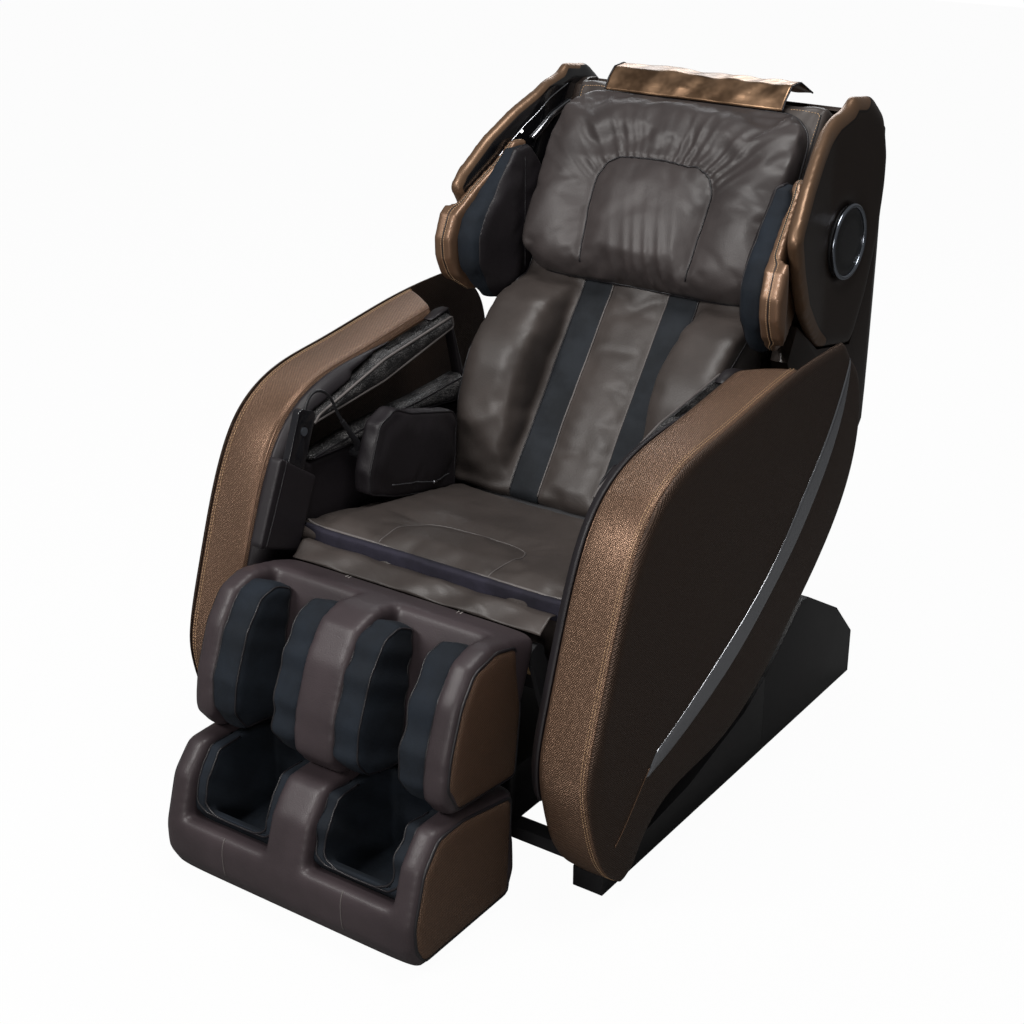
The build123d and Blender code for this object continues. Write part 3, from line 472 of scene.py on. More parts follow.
def even(line, pitch, closed=True):
    """The line redrawn with points about one pitch apart."""
    if closed:
        line = np.vstack([line, line[:1]])
    run = np.concatenate([[0], np.cumsum(np.linalg.norm(np.diff(line, axis=0), axis=1))])
    count = max(3, round(run[-1] / pitch))
    spots = np.linspace(0, run[-1], count + 1)
    if closed:
        spots = spots[:-1]
    return np.column_stack([np.interp(spots, run, line[:, k]) for k in range(line.shape[1])])


def soft_corners(loop, pitch, ease):
    """The closed loop redrawn evenly, with its corners eased."""
    fine = even(loop, pitch / 3)
    spread = ease / (pitch / 3) / 1.6
    reach_out = int(3 * spread) + 1
    weights = np.exp(-0.5 * (np.arange(-reach_out, reach_out + 1) / spread) ** 2)
    eased_loop = sum(w * np.roll(fine, k, 0) for k, w in enumerate(weights, -reach_out)) / weights.sum()
    return even(eased_loop, pitch)


def gap_to(points, line, closed=True):
    """Each point's distance from a line."""
    starts = line if closed else line[:-1]
    ends = np.roll(line, -1, 0) if closed else line[1:]
    best = np.full(len(points), 1e9)
    for a, b in zip(starts, ends):
        way = b - a
        along = np.clip((points - a) @ way / max(way @ way, 1e-18), 0, 1)
        best = np.minimum(best, np.linalg.norm(points - a - along[:, None] * way, axis=1))
    return best


def within(points, loop):
    """Which points lie inside a closed loop."""
    inside = np.zeros(len(points), bool)
    for (ay, az), (by, bz) in zip(loop, np.roll(loop, -1, 0)):
        if az != bz:
            crosses = (az > points[:, 1]) != (bz > points[:, 1])
            inside ^= crosses & (points[:, 0] < (by - ay) * (points[:, 1] - az) / (bz - az) + ay)
    return inside


def inward(loop):
    """The unit vectors that point into an anticlockwise loop."""
    way = np.roll(loop, -1, 0) - np.roll(loop, 1, 0)
    way /= np.linalg.norm(way, axis=1)[:, None]
    return np.column_stack([-way[:, 1], way[:, 0]])


def drop(depth, ease, fall=None):
    """How far a rounded rim has fallen, at a depth in from the outline."""
    fall = ease if fall is None else fall
    return fall * (1 - np.sqrt(1 - (1 - np.clip(depth / ease, 0, 1)) ** 2))


RIM_ROWS = (0.0012, 0.004, 0.008, 0.013, 0.019)


def slab(name, outline, pitch, place, front, back, rows=RIM_ROWS, seams=(), holes=()):
    """A closed form over a flat outline. front and back give each side's height at points (u, v),
    from their depth in from the outline, and place turns (u, v, height) into a place."""
    loops = [outline, *holes]
    cloud = [*loops]
    for loop, turn in zip(loops, (1, *[-1] * len(holes))):
        for depth in rows:
            ring = loop + turn * inward(loop) * depth
            nearest = np.min([gap_to(ring, other) for other in loops], axis=0)
            cloud.append(ring[(nearest > 0.93 * depth) & within(ring, outline)])
    seam_lines = [even(np.array(seam), pitch, closed=False) for seam in seams]
    low, high = outline.min(0), outline.max(0)
    grid = np.array(
        [
            (u + (row % 2) * pitch / 2, v)
            for row, v in enumerate(np.arange(low[1], high[1], pitch * 0.866))
            for u in np.arange(low[0], high[0], pitch)
        ]
    )
    deep = np.min([gap_to(grid, loop) for loop in loops], axis=0)
    keep = within(grid, outline) & (deep > (rows[-1] if rows else 0) + 0.55 * pitch)
    for line in seam_lines:
        keep &= gap_to(grid, line, closed=False) > 0.5 * pitch
    cloud.append(grid[keep])
    edges = []
    count = 0
    for loop in loops:
        edges += [(count + k, count + (k + 1) % len(loop)) for k in range(len(loop))]
        count += len(loop)
    count = sum(len(part) for part in cloud)
    for line in seam_lines:
        edges += [(count + k, count + k + 1) for k in range(len(line) - 1)]
        cloud.append(line)
        count += len(line)
    flat, _, tris, *_ = geometry.delaunay_2d_cdt([Vector(p) for p in np.vstack(cloud)], edges, [], 0, 1e-6)
    flat = np.array(flat)
    tris = np.array(tris)
    middle = flat[tris].mean(axis=1)
    kept = within(middle, outline)
    for hole in holes:
        kept &= ~within(middle, hole)
    tris = tris[kept]
    used = np.unique(tris)
    renumber = -np.ones(len(flat), int)
    renumber[used] = np.arange(len(used))
    flat, tris = flat[used], renumber[tris]
    a, b, c = (flat[tris[:, k]] for k in range(3))
    twisted = (b[:, 0] - a[:, 0]) * (c[:, 1] - a[:, 1]) - (b[:, 1] - a[:, 1]) * (c[:, 0] - a[:, 0]) < 0
    tris[twisted] = tris[twisted][:, ::-1]
    depth = np.min([gap_to(flat, loop) for loop in loops], axis=0)
    top = place(flat[:, 0], flat[:, 1], front(depth, flat))
    under = place(flat[:, 0], flat[:, 1], back(depth, flat))
    total = len(flat)
    sides = {}
    for tri in tris:
        for k in range(3):
            sides[(tri[k], tri[(k + 1) % 3])] = True
    walls = [(b, a, a + total, b + total) for a, b in sides if (b, a) not in sides]
    faces = [tuple(t) for t in tris] + [tuple(t[::-1] + total) for t in tris] + walls
    mesh = bpy.data.meshes.new(name)
    mesh.from_pydata(np.vstack([top, under]).tolist(), [], [tuple(int(i) for i in f) for f in faces])
    sheet_map = mesh.uv_layers.new(name="cloth")
    corners = np.zeros(len(mesh.loops), int)
    mesh.loops.foreach_get("vertex_index", corners)
    sheet_map.data.foreach_set("uv", np.vstack([flat, flat])[corners].astype(np.float32).ravel())
    hem = mesh.attributes.new("hem", "FLOAT", "POINT")
    hem.data.foreach_set("value", np.concatenate([depth, depth]).astype(np.float32))
    form = bmesh.new()
    form.from_mesh(mesh)
    bmesh.ops.remove_doubles(form, verts=form.verts, dist=1e-6)
    bmesh.ops.dissolve_degenerate(form, dist=1e-7, edges=form.edges)
    bpy.data.meshes.remove(mesh)
    return piece(name, form)


def mirrored(obj, name):
    """The same piece for the other side of the chair."""
    form = bmesh.new()
    form.from_mesh(obj.data)
    for vert in form.verts:
        vert.co.x = -vert.co.x
    bmesh.ops.reverse_faces(form, faces=form.faces)
    twin = piece(name, form)
    for material in obj.data.materials:
        twin.data.materials.append(material)
    return twin


def sideways(y, z, x):
    return np.column_stack([x, y, z])


def embossed(name, shade, painted_glint, rough, coords="UV", pitch=0.0036):
    """Metallic leatherette with embossed rows of tiny dots. The dots, and sparse flecks near its rims, are
    painted toward a brighter glint colour as painted highlights.
    """
    f = Finish(name, coords)
    split = f.place.node("ShaderNodeSeparateXYZ", {}, {0: f.place})
    across = Socket(f.tree, split.plug.node.outputs[1])
    if coords == "Object":
        split = Socket(f.tree, split.plug.node.outputs[1])
        across = Socket(f.tree, split.plug.node.outputs[2])
    rows = (split * (tau / pitch)).math("SINE") * (across * (tau / pitch)).math("SINE")
    dots = rows.blur_step(-0.5, 0.75)
    lived = f.noise(7.0, 4.0)
    hem = f.place.node("ShaderNodeAttribute", {"attribute_name": "hem"}, output=2)
    # painted highlight: sparse glints painted in within about 6 mm of the rims
    painted_rim_glints = (1 - hem.blur_step(0.0, 0.006)) * f.noise(160.0, 3.0).blur_step(0.45, 0.75) * 0.25
    body = f.mix(lived, shade, tuple(c * 1.25 for c in shade))
    # painted highlight: the dots and the rim glints take the brighter glint colour
    colour = f.mix(dots * 0.85 + painted_rim_glints, body, painted_glint)
    return f.done(
        Base_Color=colour,
        Metallic=0.72,
        Roughness=lived * 0.12 + (rough - 0.06) - dots * 0.04,
        Normal=f.bump(dots + f.noise(1500.0, 2.0) * 0.2, 0.8, 0.0009),
    )


# the second colour given to embossed is the painted highlight colour of its dots and rims
bronze = embossed("bronze_leatherette", (0.095, 0.053, 0.034), (0.34, 0.215, 0.145), 0.36)
dark_bronze = embossed("dark_bronze_leatherette", (0.032, 0.020, 0.0145), (0.115, 0.073, 0.052), 0.44)

SIDE_X = 0.388
PANEL_INNER_X = 0.3785
PANEL_FALL = SIDE_X - PANEL_INNER_X


def panel_face(depth, flat):
    """The side panel's outer face: a tight rim above, and a long curl under the bottom."""
    low = np.clip((0.34 - flat[:, 1]) / 0.22, 0, 1)
    ease = 0.013 + 0.06 * low * low * (3 - 2 * low)
    return SIDE_X - drop(depth, ease, PANEL_FALL) + 0.003 * (1 - np.exp(-depth / 0.1))


panel_line = soft_corners(caps("arm_side_panel_left", SIDE_X)[0], 0.010, 0.008)
side_panel = slab(
    "side_panel_left",
    panel_line,
    0.012,
    sideways,
    panel_face,
    lambda depth, flat: PANEL_INNER_X + 0 * depth,
    rows=(0.001, 0.0035, 0.008, 0.014, 0.021, 0.029, 0.04),
)
belongs(paint(side_panel, dark_bronze), "seat", "brown_panel", "arm_side_panel_left")
belongs(mirrored(side_panel, "side_panel_right"), "seat", "brown_panel", "arm_side_panel_right")


# ---- Arm trims ----------------------------------------------------------------------------------
# A polished crescent strip of chromed plastic on each side panel, clipped into a groove. Ahead of
# its lower tip the two pieces of leatherette meet in a fine seam that runs on to the front.
def chromed(name, shade, rough):
    """Chrome on plastic: mirror-like, with faint ripples and handling haze."""
    f = Finish(name)
    haze = f.noise(14.0, 4.0)
    return f.done(
        Base_Color=f.mix(haze, shade, tuple(c * 0.82 for c in shade)),
        Metallic=1.0,
        Roughness=haze * 0.14 + rough,
        Normal=f.bump(f.noise(60.0, 1.0), 0.03, 0.0005),
    )


chrome = chromed("trim_chrome", (0.42, 0.43, 0.46), 0.12)
TRIM_PROUD = 0.0022
trim_line = even(caps("arm_trims", 0.390)[0], 0.006)


def trim_face(depth, flat):
    inner = gap_to(flat, panel_line)
    return panel_face(inner, flat) + TRIM_PROUD - drop(depth, 0.0025)


trim = slab(
    "side_trim_left",
    trim_line,
    0.006,
    sideways,
    trim_face,
    lambda depth, flat: panel_face(gap_to(flat, panel_line), flat) - 0.001,
    rows=(0.0008, 0.0022),
)
belongs(paint(trim, chrome), "seat", "silver_trim", "arm_trims")
belongs(mirrored(trim, "side_trim_right"), "seat", "silver_trim")


def spine(points):
    """The direction of a line at each of its points, for what is swept along it."""
    way = np.gradient(points, axis=0)
    way /= np.linalg.norm(way, axis=1)[:, None] + 1e-12
    return way


def piping(name, line, radius, closed=False, sides=8, flatten=1.0, out=None):
    """A round bead sewn along a line of points. out, where given, is the way its flat side faces."""
    line = np.array(line, float)
    if closed:
        way = np.roll(line, -1, 0) - np.roll(line, 1, 0)
        way /= np.linalg.norm(way, axis=1)[:, None]
    else:
        way = spine(line)
    up = np.array(out if out is not None else (0.31, 0.17, 0.93), float)
    if up.ndim == 1:
        up = np.tile(up, (len(line), 1))
    side = np.cross(way, up)
    side /= np.linalg.norm(side, axis=1)[:, None] + 1e-12
    up = np.cross(side, way)
    rings = [
        line + radius * (
            cos(tau * k / sides) * side + flatten * sin(tau * k / sides) * up
        ) for k in range(sides)
    ]
    verts = np.stack(rings, axis=1).reshape(-1, 3)
    form = bmesh.new()
    made = [form.verts.new(v) for v in verts]
    count = len(line)
    for i in range(count if closed else count - 1):
        j = (i + 1) % count
        for k in range(sides):
            m = (k + 1) % sides
            form.faces.new(
                [made[i * sides + k], made[i * sides + m], made[j * sides + m], made[j * sides + k]]
            )
    if not closed:
        form.faces.new([made[k] for k in range(sides)][::-1])
        form.faces.new([made[(count - 1) * sides + k] for k in range(sides)])
    bmesh.ops.recalc_face_normals(form, faces=form.faces)
    return piece(name, form)


seam_start = np.array([-0.308, 0.215])
seam_mid = np.array([-0.350, 0.172])
seam_end = np.array([-0.395, 0.125])
seam_points = even(np.array([seam_start, seam_mid, seam_end]), 0.004, closed=False)
seam_x = panel_face(gap_to(seam_points, panel_line), seam_points)
panel_seam = piping(
    "side_panel_seam_left", sideways(seam_points[:, 0], seam_points[:, 1], seam_x + 0.0002), 0.0009
)
belongs(paint(panel_seam, bronze), "seat", "brown_panel")
belongs(mirrored(panel_seam, "side_panel_seam_right"), "seat", "brown_panel")


# ---- Arm bands ----------------------------------------------------------------------------------
# A padded roll over the top and front of each arm: foam under bronze embossed leatherette. It is
# sewn to the side panel with two rows of stitches, and piped where it turns in to the sitter.
def corner_runs(loop, turn=50.0):
    """The loop cut into runs at its sharp corners, the longest first."""
    way = np.roll(loop, -1, 0) - loop
    angle = np.arctan2(way[:, 1], way[:, 0])
    bend = np.abs((angle - np.roll(angle, 1) + pi) % tau - pi)
    corners = [k for k in range(len(loop)) if bend[k] > radians(turn)]
    runs = []
    for a, b in zip(corners, corners[1:] + corners[:1]):
        span = range(a, b + 1) if b > a else [*range(a, len(loop)), *range(0, b + 1)]
        runs.append(loop[list(span)])
    return sorted(runs, key=lambda run: -np.linalg.norm(np.diff(run, axis=0), axis=1).sum())


ARM_SEAM_X = 0.290
BAND_DEPTH = 0.042
band_path = corner_runs(caps("arm_band_left", ARM_SEAM_X)[0])[0]
if band_path[0, 1] < band_path[-1, 1]:
    band_path = band_path[::-1]
fine_path = even(band_path, 0.002, closed=False)
smooth_by = 9
kernel = np.hanning(2 * smooth_by + 1)[1:-1]
kernel /= kernel.sum()
padded_ends = np.pad(fine_path, ((smooth_by - 1, smooth_by - 1), (0, 0)), mode="reflect", reflect_type="odd")
fine_path = np.column_stack([np.convolve(padded_ends[:, k], kernel, mode="valid") for k in (0, 1)])
band_path = even(fine_path, 0.006, closed=False)

# across the band: x from the seam, and how far below the arm's outline
INNER_EASE = 0.017
arc = np.linspace(0, pi / 2, 7)
band_section = np.array(
    [(0.0, BAND_DEPTH), (0.0, 0.030)]
    + [(INNER_EASE * (1 - cos(t)), INNER_EASE * (1 - sin(t)) + 0.0005) for t in arc]
    + [(0.030, -0.0008), (0.044, -0.0016), (0.058, -0.0016), (0.070, -0.0008), (0.078, 0.0001)]
    + [(0.0845, 0.0006), (0.0868, 0.0022), (0.0876, 0.006), (0.0876, BAND_DEPTH)]
)


def swept(name, path, section, x_start, ends=None):
    """A section (across, depth) carried along a path in the chair's side view."""
    way = spine(path)
    inner = np.column_stack([way[:, 1], -way[:, 0]])
    if inner[len(inner) // 3, 1] > 0:
        inner = -inner
    run = np.concatenate([[0], np.cumsum(np.linalg.norm(np.diff(path, axis=0), axis=1))])
    girth = np.concatenate([[0], np.cumsum(np.linalg.norm(np.diff(section, axis=0), axis=1))])
    rows, cloth = [], []
    for k, spot in enumerate(path):
        across, depth = section[:, 0], section[:, 1]
        shift = np.zeros(len(section)) if ends is None else ends(run[k], across, depth)
        flat = spot + depth[:, None] * inner[k] + shift[:, None] * way[k]
        rows.append(np.column_stack([x_start + across, flat]))
        cloth.append(np.column_stack([run[k] + shift, girth]))
    rows, cloth = np.array(rows), np.array(cloth)
    form = bmesh.new()
    cloth_map = form.loops.layers.uv.new("cloth")
    made = [[form.verts.new(v) for v in row] for row in rows]
    for i in range(len(rows) - 1):
        for k in range(len(section) - 1):
            face = form.faces.new([made[i][k], made[i][k + 1], made[i + 1][k + 1], made[i + 1][k]])
            for loop, (m, n) in zip(face.loops, ((i, k), (i, k + 1), (i + 1, k + 1), (i + 1, k))):
                loop[cloth_map].uv = cloth[m, n]
        closing = form.faces.new([made[i][-1], made[i][0], made[i + 1][0], made[i + 1][-1]])
        for loop in closing.loops:
            loop[cloth_map].uv = cloth[i, 0]
    for row in (made[0], made[-1]):
        cap = form.faces.new(row)
        for loop in cap.loops:
            loop[cloth_map].uv = cloth[0, 0]
    bmesh.ops.recalc_face_normals(form, faces=form.faces)
    return piece(name, form)


def band_rear(run, across, depth):
    """Moves the rear end on a slant, so that the padded end faces the sitter's shoulder."""
    return np.clip(1 - run / 0.14, 0, 1) ** 2 * (0.0876 - across) * 0.6


band = swept("arm_band_pad_left", band_path, band_section, ARM_SEAM_X, band_rear)
belongs(paint(band, bronze), "seat", "bronze_leather", "arm_band_left")
belongs(mirrored(band, "arm_band_pad_right"), "seat", "bronze_leather", "arm_band_right")


def stitch_tree():
    """Geometry nodes that lay thread stitches along a polyline."""
    tree = bpy.data.node_groups.new("stitches", "GeometryNodeTree")
    face = tree.interface
    face.new_socket("Line", in_out="INPUT", socket_type="NodeSocketGeometry")
    for label in ("Pitch", "Length", "Thickness"):
        face.new_socket(label, in_out="INPUT", socket_type="NodeSocketFloat")
    face.new_socket("Thread", in_out="INPUT", socket_type="NodeSocketMaterial")
    face.new_socket("Stitches", in_out="OUTPUT", socket_type="NodeSocketGeometry")
    start = tree.nodes.new("NodeGroupInput")
    end = tree.nodes.new("NodeGroupOutput")

    def add(kind, settings=None, **links):
        made = tree.nodes.new(kind)
        for key, value in (settings or {}).items():
            setattr(made, key, value)
        for key, value in links.items():
            socket = made.inputs[key.replace("_", " ")]
            if isinstance(value, bpy.types.NodeSocket):
                tree.links.new(value, socket)
            else:
                socket.default_value = value
        return made

    curve = add("GeometryNodeMeshToCurve", Mesh=start.outputs["Line"])
    spots = add(
        "GeometryNodeCurveToPoints", {"mode": "LENGTH"}, Curve=curve.outputs[0], Length=start.outputs["Pitch"]
    )
    halved = add("ShaderNodeMath", {"operation": "DIVIDE"})
    tree.links.new(start.outputs["Length"], halved.inputs[0])
    halved.inputs[1].default_value = 2.0
    bead = add("GeometryNodeMeshUVSphere", Segments=6, Rings=4, Radius=1.0)
    girth = add(
        "ShaderNodeCombineXYZ",
        X=start.outputs["Thickness"],
        Y=start.outputs["Thickness"],
        Z=halved.outputs[0],
    )
    shaped = add("GeometryNodeTransform", Geometry=bead.outputs["Mesh"], Scale=girth.outputs[0])
    sewn = add("GeometryNodeInstanceOnPoints", Points=spots.outputs["Points"], Instance=shaped.outputs[0])
    tree.links.new(spots.outputs["Rotation"], sewn.inputs["Rotation"])
    real = add("GeometryNodeRealizeInstances", Geometry=sewn.outputs[0])
    dyed = add("GeometryNodeSetMaterial", Geometry=real.outputs[0], Material=start.outputs["Thread"])
    tree.links.new(dyed.outputs[0], end.inputs[0])
    return tree


STITCHES = stitch_tree()
STITCH_PITCH = 0.0052
STITCH_LENGTH = 0.0038
THREAD_WIDTH = 0.00055


def thread(name, shade):
    """Twisted polyester thread with a slight shine."""
    f = Finish(name)
    twist = f.noise(2500.0, 2.0)
    return f.done(
        Base_Color=f.mix(twist, shade, tuple(c * 1.5 for c in shade)),
        Roughness=twist * 0.2 + 0.4,
        Normal=f.bump(twist, 0.3, 0.0002),
    )


gold_thread = thread("gold_thread", (0.46, 0.30, 0.17))


def stitched(name, lines, colour, pitch=STITCH_PITCH, length=STITCH_LENGTH, width=THREAD_WIDTH):
    """Stitches along each of the lines, as one plain mesh."""
    mesh = bpy.data.meshes.new(name)
    verts = np.vstack(lines)
    edges, start = [], 0
    for line in lines:
        edges += [(start + k, start + k + 1) for k in range(len(line) - 1)]
        start += len(line)
    mesh.from_pydata(verts.tolist(), edges, [])
    made = bpy.data.objects.new(name, mesh)
    bpy.context.scene.collection.objects.link(made)
    sewing = made.modifiers.new("sewing", "NODES")
    sewing.node_group = STITCHES
    values = {"Pitch": pitch, "Length": length, "Thickness": width, "Thread": colour}
    for item in STITCHES.interface.items_tree:
        if item.name in values and item.in_out == "INPUT":
            sewing[item.identifier] = values[item.name]
    return settle(made)


def along_band(across, lift):
    """A line of points on the band, across from its inner seam, lift above the outline."""
    way = spine(band_path)
    outer = np.column_stack([-way[:, 1], way[:, 0]])
    if outer[len(outer) // 3, 1] < 0:
        outer = -outer
    run = np.concatenate([[0], np.cumsum(np.linalg.norm(np.diff(band_path, axis=0), axis=1))])
    moved = band_path + lift * outer + (band_rear(run, across, 0)[:, None] * way)
    return sideways(moved[:, 0], moved[:, 1], np.full(len(moved), ARM_SEAM_X + across))


band_stitches = stitched(
    "arm_band_stitches_left", [along_band(0.0815, 0.0003), along_band(0.0770, 0.0005)], gold_thread
)
belongs(band_stitches, "seat", "bronze_leather")
belongs(mirrored(band_stitches, "arm_band_stitches_right"), "seat", "bronze_leather")
for number, (across, lift) in enumerate(((0.0012, -0.0145), (0.0060, -0.0062))):
    bead = piping(f"arm_band_piping_left_{number}", along_band(across, lift), 0.0017)
    belongs(paint(bead, bronze), "seat", "bronze_leather")
    belongs(mirrored(bead, f"arm_band_piping_right_{number}"), "seat", "bronze_leather")


# ---- Inner arm panels ---------------------------------------------------------------------------
# Soft black leather over foam on the inside of each arm. It rounds away under the band's piping,
# and is cut out in a long window for the two air bags that press on the forearm.
def leather(name, shade, rough, grain=520.0, lift=0.35, sheen=1.45):
    """Soft split leatherette: small pebbles, faint creases, paler where it is rubbed."""
    f = Finish(name)
    warp = f.noise(60.0, 2.0)
    pebble = f.cells(grain, "F1", 0.9)
    crease = f.cells(38.0, "DISTANCE_TO_EDGE", 1.0).blur_step(0.0, 0.05)
    rubbed = f.noise(6.0, 5.0, 0.6)
    dark = tuple(c * 0.86 for c in shade)
    pale = tuple(c * sheen for c in shade)
    colour = f.mix(rubbed.blur_step(0.3, 0.75), dark, pale)
    return f.done(
        Base_Color=f.mix((1 - pebble) * 0.18, colour, tuple(c * 1.7 for c in shade)),
        Roughness=rubbed * 0.12 + warp * 0.05 + rough,
        Normal=f.bump(pebble * 0.7 + crease * 0.2 + warp * 0.3, lift, 0.0005),
        Specular_IOR_Level=0.42,
    )


def far_from(points, lines):
    """Each point's distance from the nearest of several lines in space."""
    tree = kdtree.KDTree(sum(len(line) for line in lines))
    number = 0
    for line in lines:
        for spot in line:
            tree.insert(spot, number)
            number += 1
    tree.balance()
    return np.array([tree.find(p)[2] for p in points])


def waves(value, seed, low, high, count=5):
    """A wandering wave of a value: a few sines, from a fixed seed."""
    dice = np.random.default_rng(seed)
    return sum(
        np.sin(value * dice.uniform(low, high) + dice.uniform(0, tau)) for _ in range(count)
    ) / count**0.5


def lined_up(line, pitch=0.006):
    return even(np.array(line, float), pitch, closed=False)


black_leather = leather("black_leather", (0.0115, 0.0095, 0.0115), 0.42)
INNER_X = 0.266
inner_line = soft_corners(caps("arm_inner_panel_right", -INNER_X)[0], 0.009, 0.004)
WINDOW = (
    (0.104, 0.686),
    (-0.264, 0.612),
    (-0.283, 0.585),
    (-0.283, 0.532),
    (-0.139, 0.526),
    (0.002, 0.530),
    (0.146, 0.512),
)
arm_side = even(inner_line, 0.002)
arm_side = arm_side[gap_to(arm_side, np.array(WINDOW)) > 0.008]


def inner_face(depth, flat):
    """The panel's inner face: a long round under the band, and a tight roll into the window."""
    to_rim = far_from(sideways(*flat.T, 0 * depth), [sideways(*arm_side.T, np.zeros(len(arm_side)))])
    rim = drop(to_rim, 0.034, ARM_SEAM_X - INNER_X - 0.0006)
    return -INNER_X - np.maximum(rim, drop(depth, 0.010, 0.008))


inner_panel = slab(
    "arm_lining_right",
    inner_line,
    0.010,
    sideways,
    inner_face,
    lambda depth, flat: -ARM_SEAM_X + 0 * depth,
    rows=(0.0008, 0.003, 0.006, 0.010, 0.016, 0.023),
)
belongs(paint(inner_panel, black_leather), "seat", "black_leather", "arm_inner_panel_right")
belongs(mirrored(inner_panel, "arm_lining_left"), "seat", "black_leather", "arm_inner_panel_left")


# ---- Forearm air bags ---------------------------------------------------------------------------
# An upper and a lower bag in pebbled grey-black fabric, with a dark channel for the forearm
# between them. The upper one is finished with a pale grey piped edge, painted light as the highlight
# of its shine, the lower with a thin black one.
def pebbled(name, shade, light):
    """Coarse pebbled fabric, its raised scales catching the light."""
    f = Finish(name)
    scales = f.cells(235.0, "DISTANCE_TO_EDGE", 0.95)
    raised = scales.blur_step(0.02, 0.22)
    patchy = f.noise(45.0, 3.0).blur_step(0.35, 0.7)
    return f.done(
        Base_Color=f.mix(raised * patchy, shade, light),
        Roughness=patchy * 0.2 + 0.38,
        Normal=f.bump(raised + f.noise(900.0, 2.0) * 0.2, 0.7, 0.0012),
    )


airbag_fabric = pebbled("pebbled_fabric", (0.012, 0.012, 0.013), (0.11, 0.105, 0.105))
piping_black = leather("piping_black", (0.012, 0.011, 0.013), 0.3, grain=1500.0, lift=0.12)
# pale grey piping: painted lighter than the leather, as the highlight along the seams it follows
piping_grey = leather("piping_grey", (0.10, 0.09, 0.088), 0.34, grain=1500.0, lift=0.12)
BAG_X = 0.256
for label, loop, swell, radius, shade in zip(
    ("upper", "lower"), caps("forearm_airbags_right", -BAG_X), (0.018, 0.015), (0.0022, 0.0014), (
        piping_grey, piping_black
    )
):
    bag_line = soft_corners(loop, 0.006, 0.004)
    bag = slab(
        f"forearm_bag_{label}_right",
        bag_line,
        0.006,
        sideways,
        lambda depth, flat: -BAG_X - drop(depth, swell, 0.014) - 0.001 * (
            1 + waves(flat[:, 0], 3, 20, 60)
        ) * 0.5,
        lambda depth, flat: -ARM_SEAM_X + 0.0006 + 0 * depth,
        rows=(0.001, 0.003, 0.006, 0.010, 0.015),
    )
    bags = {"right": paint(bag, airbag_fabric), "left": mirrored(bag, f"forearm_bag_{label}_left")}
    for side_name, side_bag in bags.items():
        # Each side's node holds both of its bags, and its upper bag stands for it.
        stands_for = [f"forearm_airbags_{side_name}"] if label == "upper" else []
        belongs(side_bag, "seat", "airbag_fabric", *stands_for)
    seam = soft_corners(loop, 0.005, 0.008)
    seam = seam + inward(seam) * 0.004
    height = -BAG_X - drop(np.full(len(seam), 0.004), swell, 0.014) + 0.0006
    bead = piping(f"bag_piping_{label}_right", sideways(*seam.T, height), radius, closed=True)
    belongs(paint(bead, shade), "seat", "airbag_fabric")
    belongs(mirrored(bead, f"bag_piping_{label}_left"), "seat", "airbag_fabric")


# ---- Handset, its pocket and the cord sleeve ------------------------------------------------------
# A slim wired remote in glossy black, with a blue-grey strip along its front edge as a painted highlight.
# It stands in a stitched leather pocket on the inside of the arm, next to the rubber boot that its lead
# goes down.
def remeshed(name, form, grid, melt):
    """A closed form redrawn on an even grid, with its edges melted round."""
    made = piece(name, form)
    net = made.modifiers.new("net", "REMESH")
    net.mode = "VOXEL"
    net.voxel_size = grid
    settle(made)
    form = bmesh.new()
    form.from_mesh(made.data)
    for _ in range(melt):
        bmesh.ops.smooth_vert(
            form, verts=form.verts, factor=0.5, use_axis_x=True, use_axis_y=True, use_axis_z=True
        )
    bpy.data.objects.remove(made)
    return piece(name, form)


def points_of(obj):
    """The object's vertex places and normals, as arrays."""
    mesh = obj.data
    places = np.zeros(len(mesh.vertices) * 3, np.float32)
    mesh.vertices.foreach_get("co", places)
    normals = np.zeros(len(mesh.vertices) * 3, np.float32)
    mesh.vertex_normals.foreach_get("vector", normals)
    return places.reshape(-1, 3).astype(float), normals.reshape(-1, 3).astype(float)


def moved(obj, places):
    obj.data.vertices.foreach_set("co", np.asarray(places, np.float32).ravel())
    obj.data.update()
    return obj


def on_surface(line, obj, lift=0.0):
    """A line of points laid on an object's surface."""
    mesh = obj.data
    tree = BVHTree.FromPolygons([v.co[:] for v in mesh.vertices], [tuple(p.vertices) for p in mesh.polygons])
    spots, ways = [], []
    for point in line:
        spot, way, *_ = tree.find_nearest(Vector(point))
        spots.append(np.array(spot) + lift * np.array(way))
        ways.append(way)
    spots = np.array(spots)
    if len(spots) > 4:
        spots[1:-1] = 0.5 * spots[1:-1] + 0.25 * (spots[:-2] + spots[2:])
    return spots, np.array(ways)


def welted(name, obj, line, radius, finish, body, finish_slot, closed=False, lift=0.3):
    """Piping sewn along a line on a padded piece."""
    spots, ways = on_surface(even(np.array(line, float), 0.005, closed), obj, lift * radius)
    bead = paint(piping(name, spots, radius, closed, out=ways), finish)
    return belongs(bead, body, finish_slot)


handset_form = eased("handset_body", "handset", 0.0028, 4)
belongs(paint(handset_form, black_gloss), "seat", "black_gloss", "handset")
paint(nodes["handset_button"], gloss("button_gloss", (0.05, 0.055, 0.065), 0.2))
paint(nodes["cord_sleeve"], cord_rubber)
# painted highlight: a glossy blue-grey strip laid on the handset's front edge stands for the light along it
blue_highlight_gloss = gloss("blue_grey_highlight", (0.10, 0.15, 0.20), 0.16)
painted_highlight_line = lined_up([(-0.3050, 0.6300), (-0.3380, 0.5640), (-0.3760, 0.4880)])
painted_highlight_strip = piping(
    "handset_highlight", sideways(painted_highlight_line[:, 0], painted_highlight_line[:, 1], np.full(len(painted_highlight_line), -0.2535)), 0.0016
)

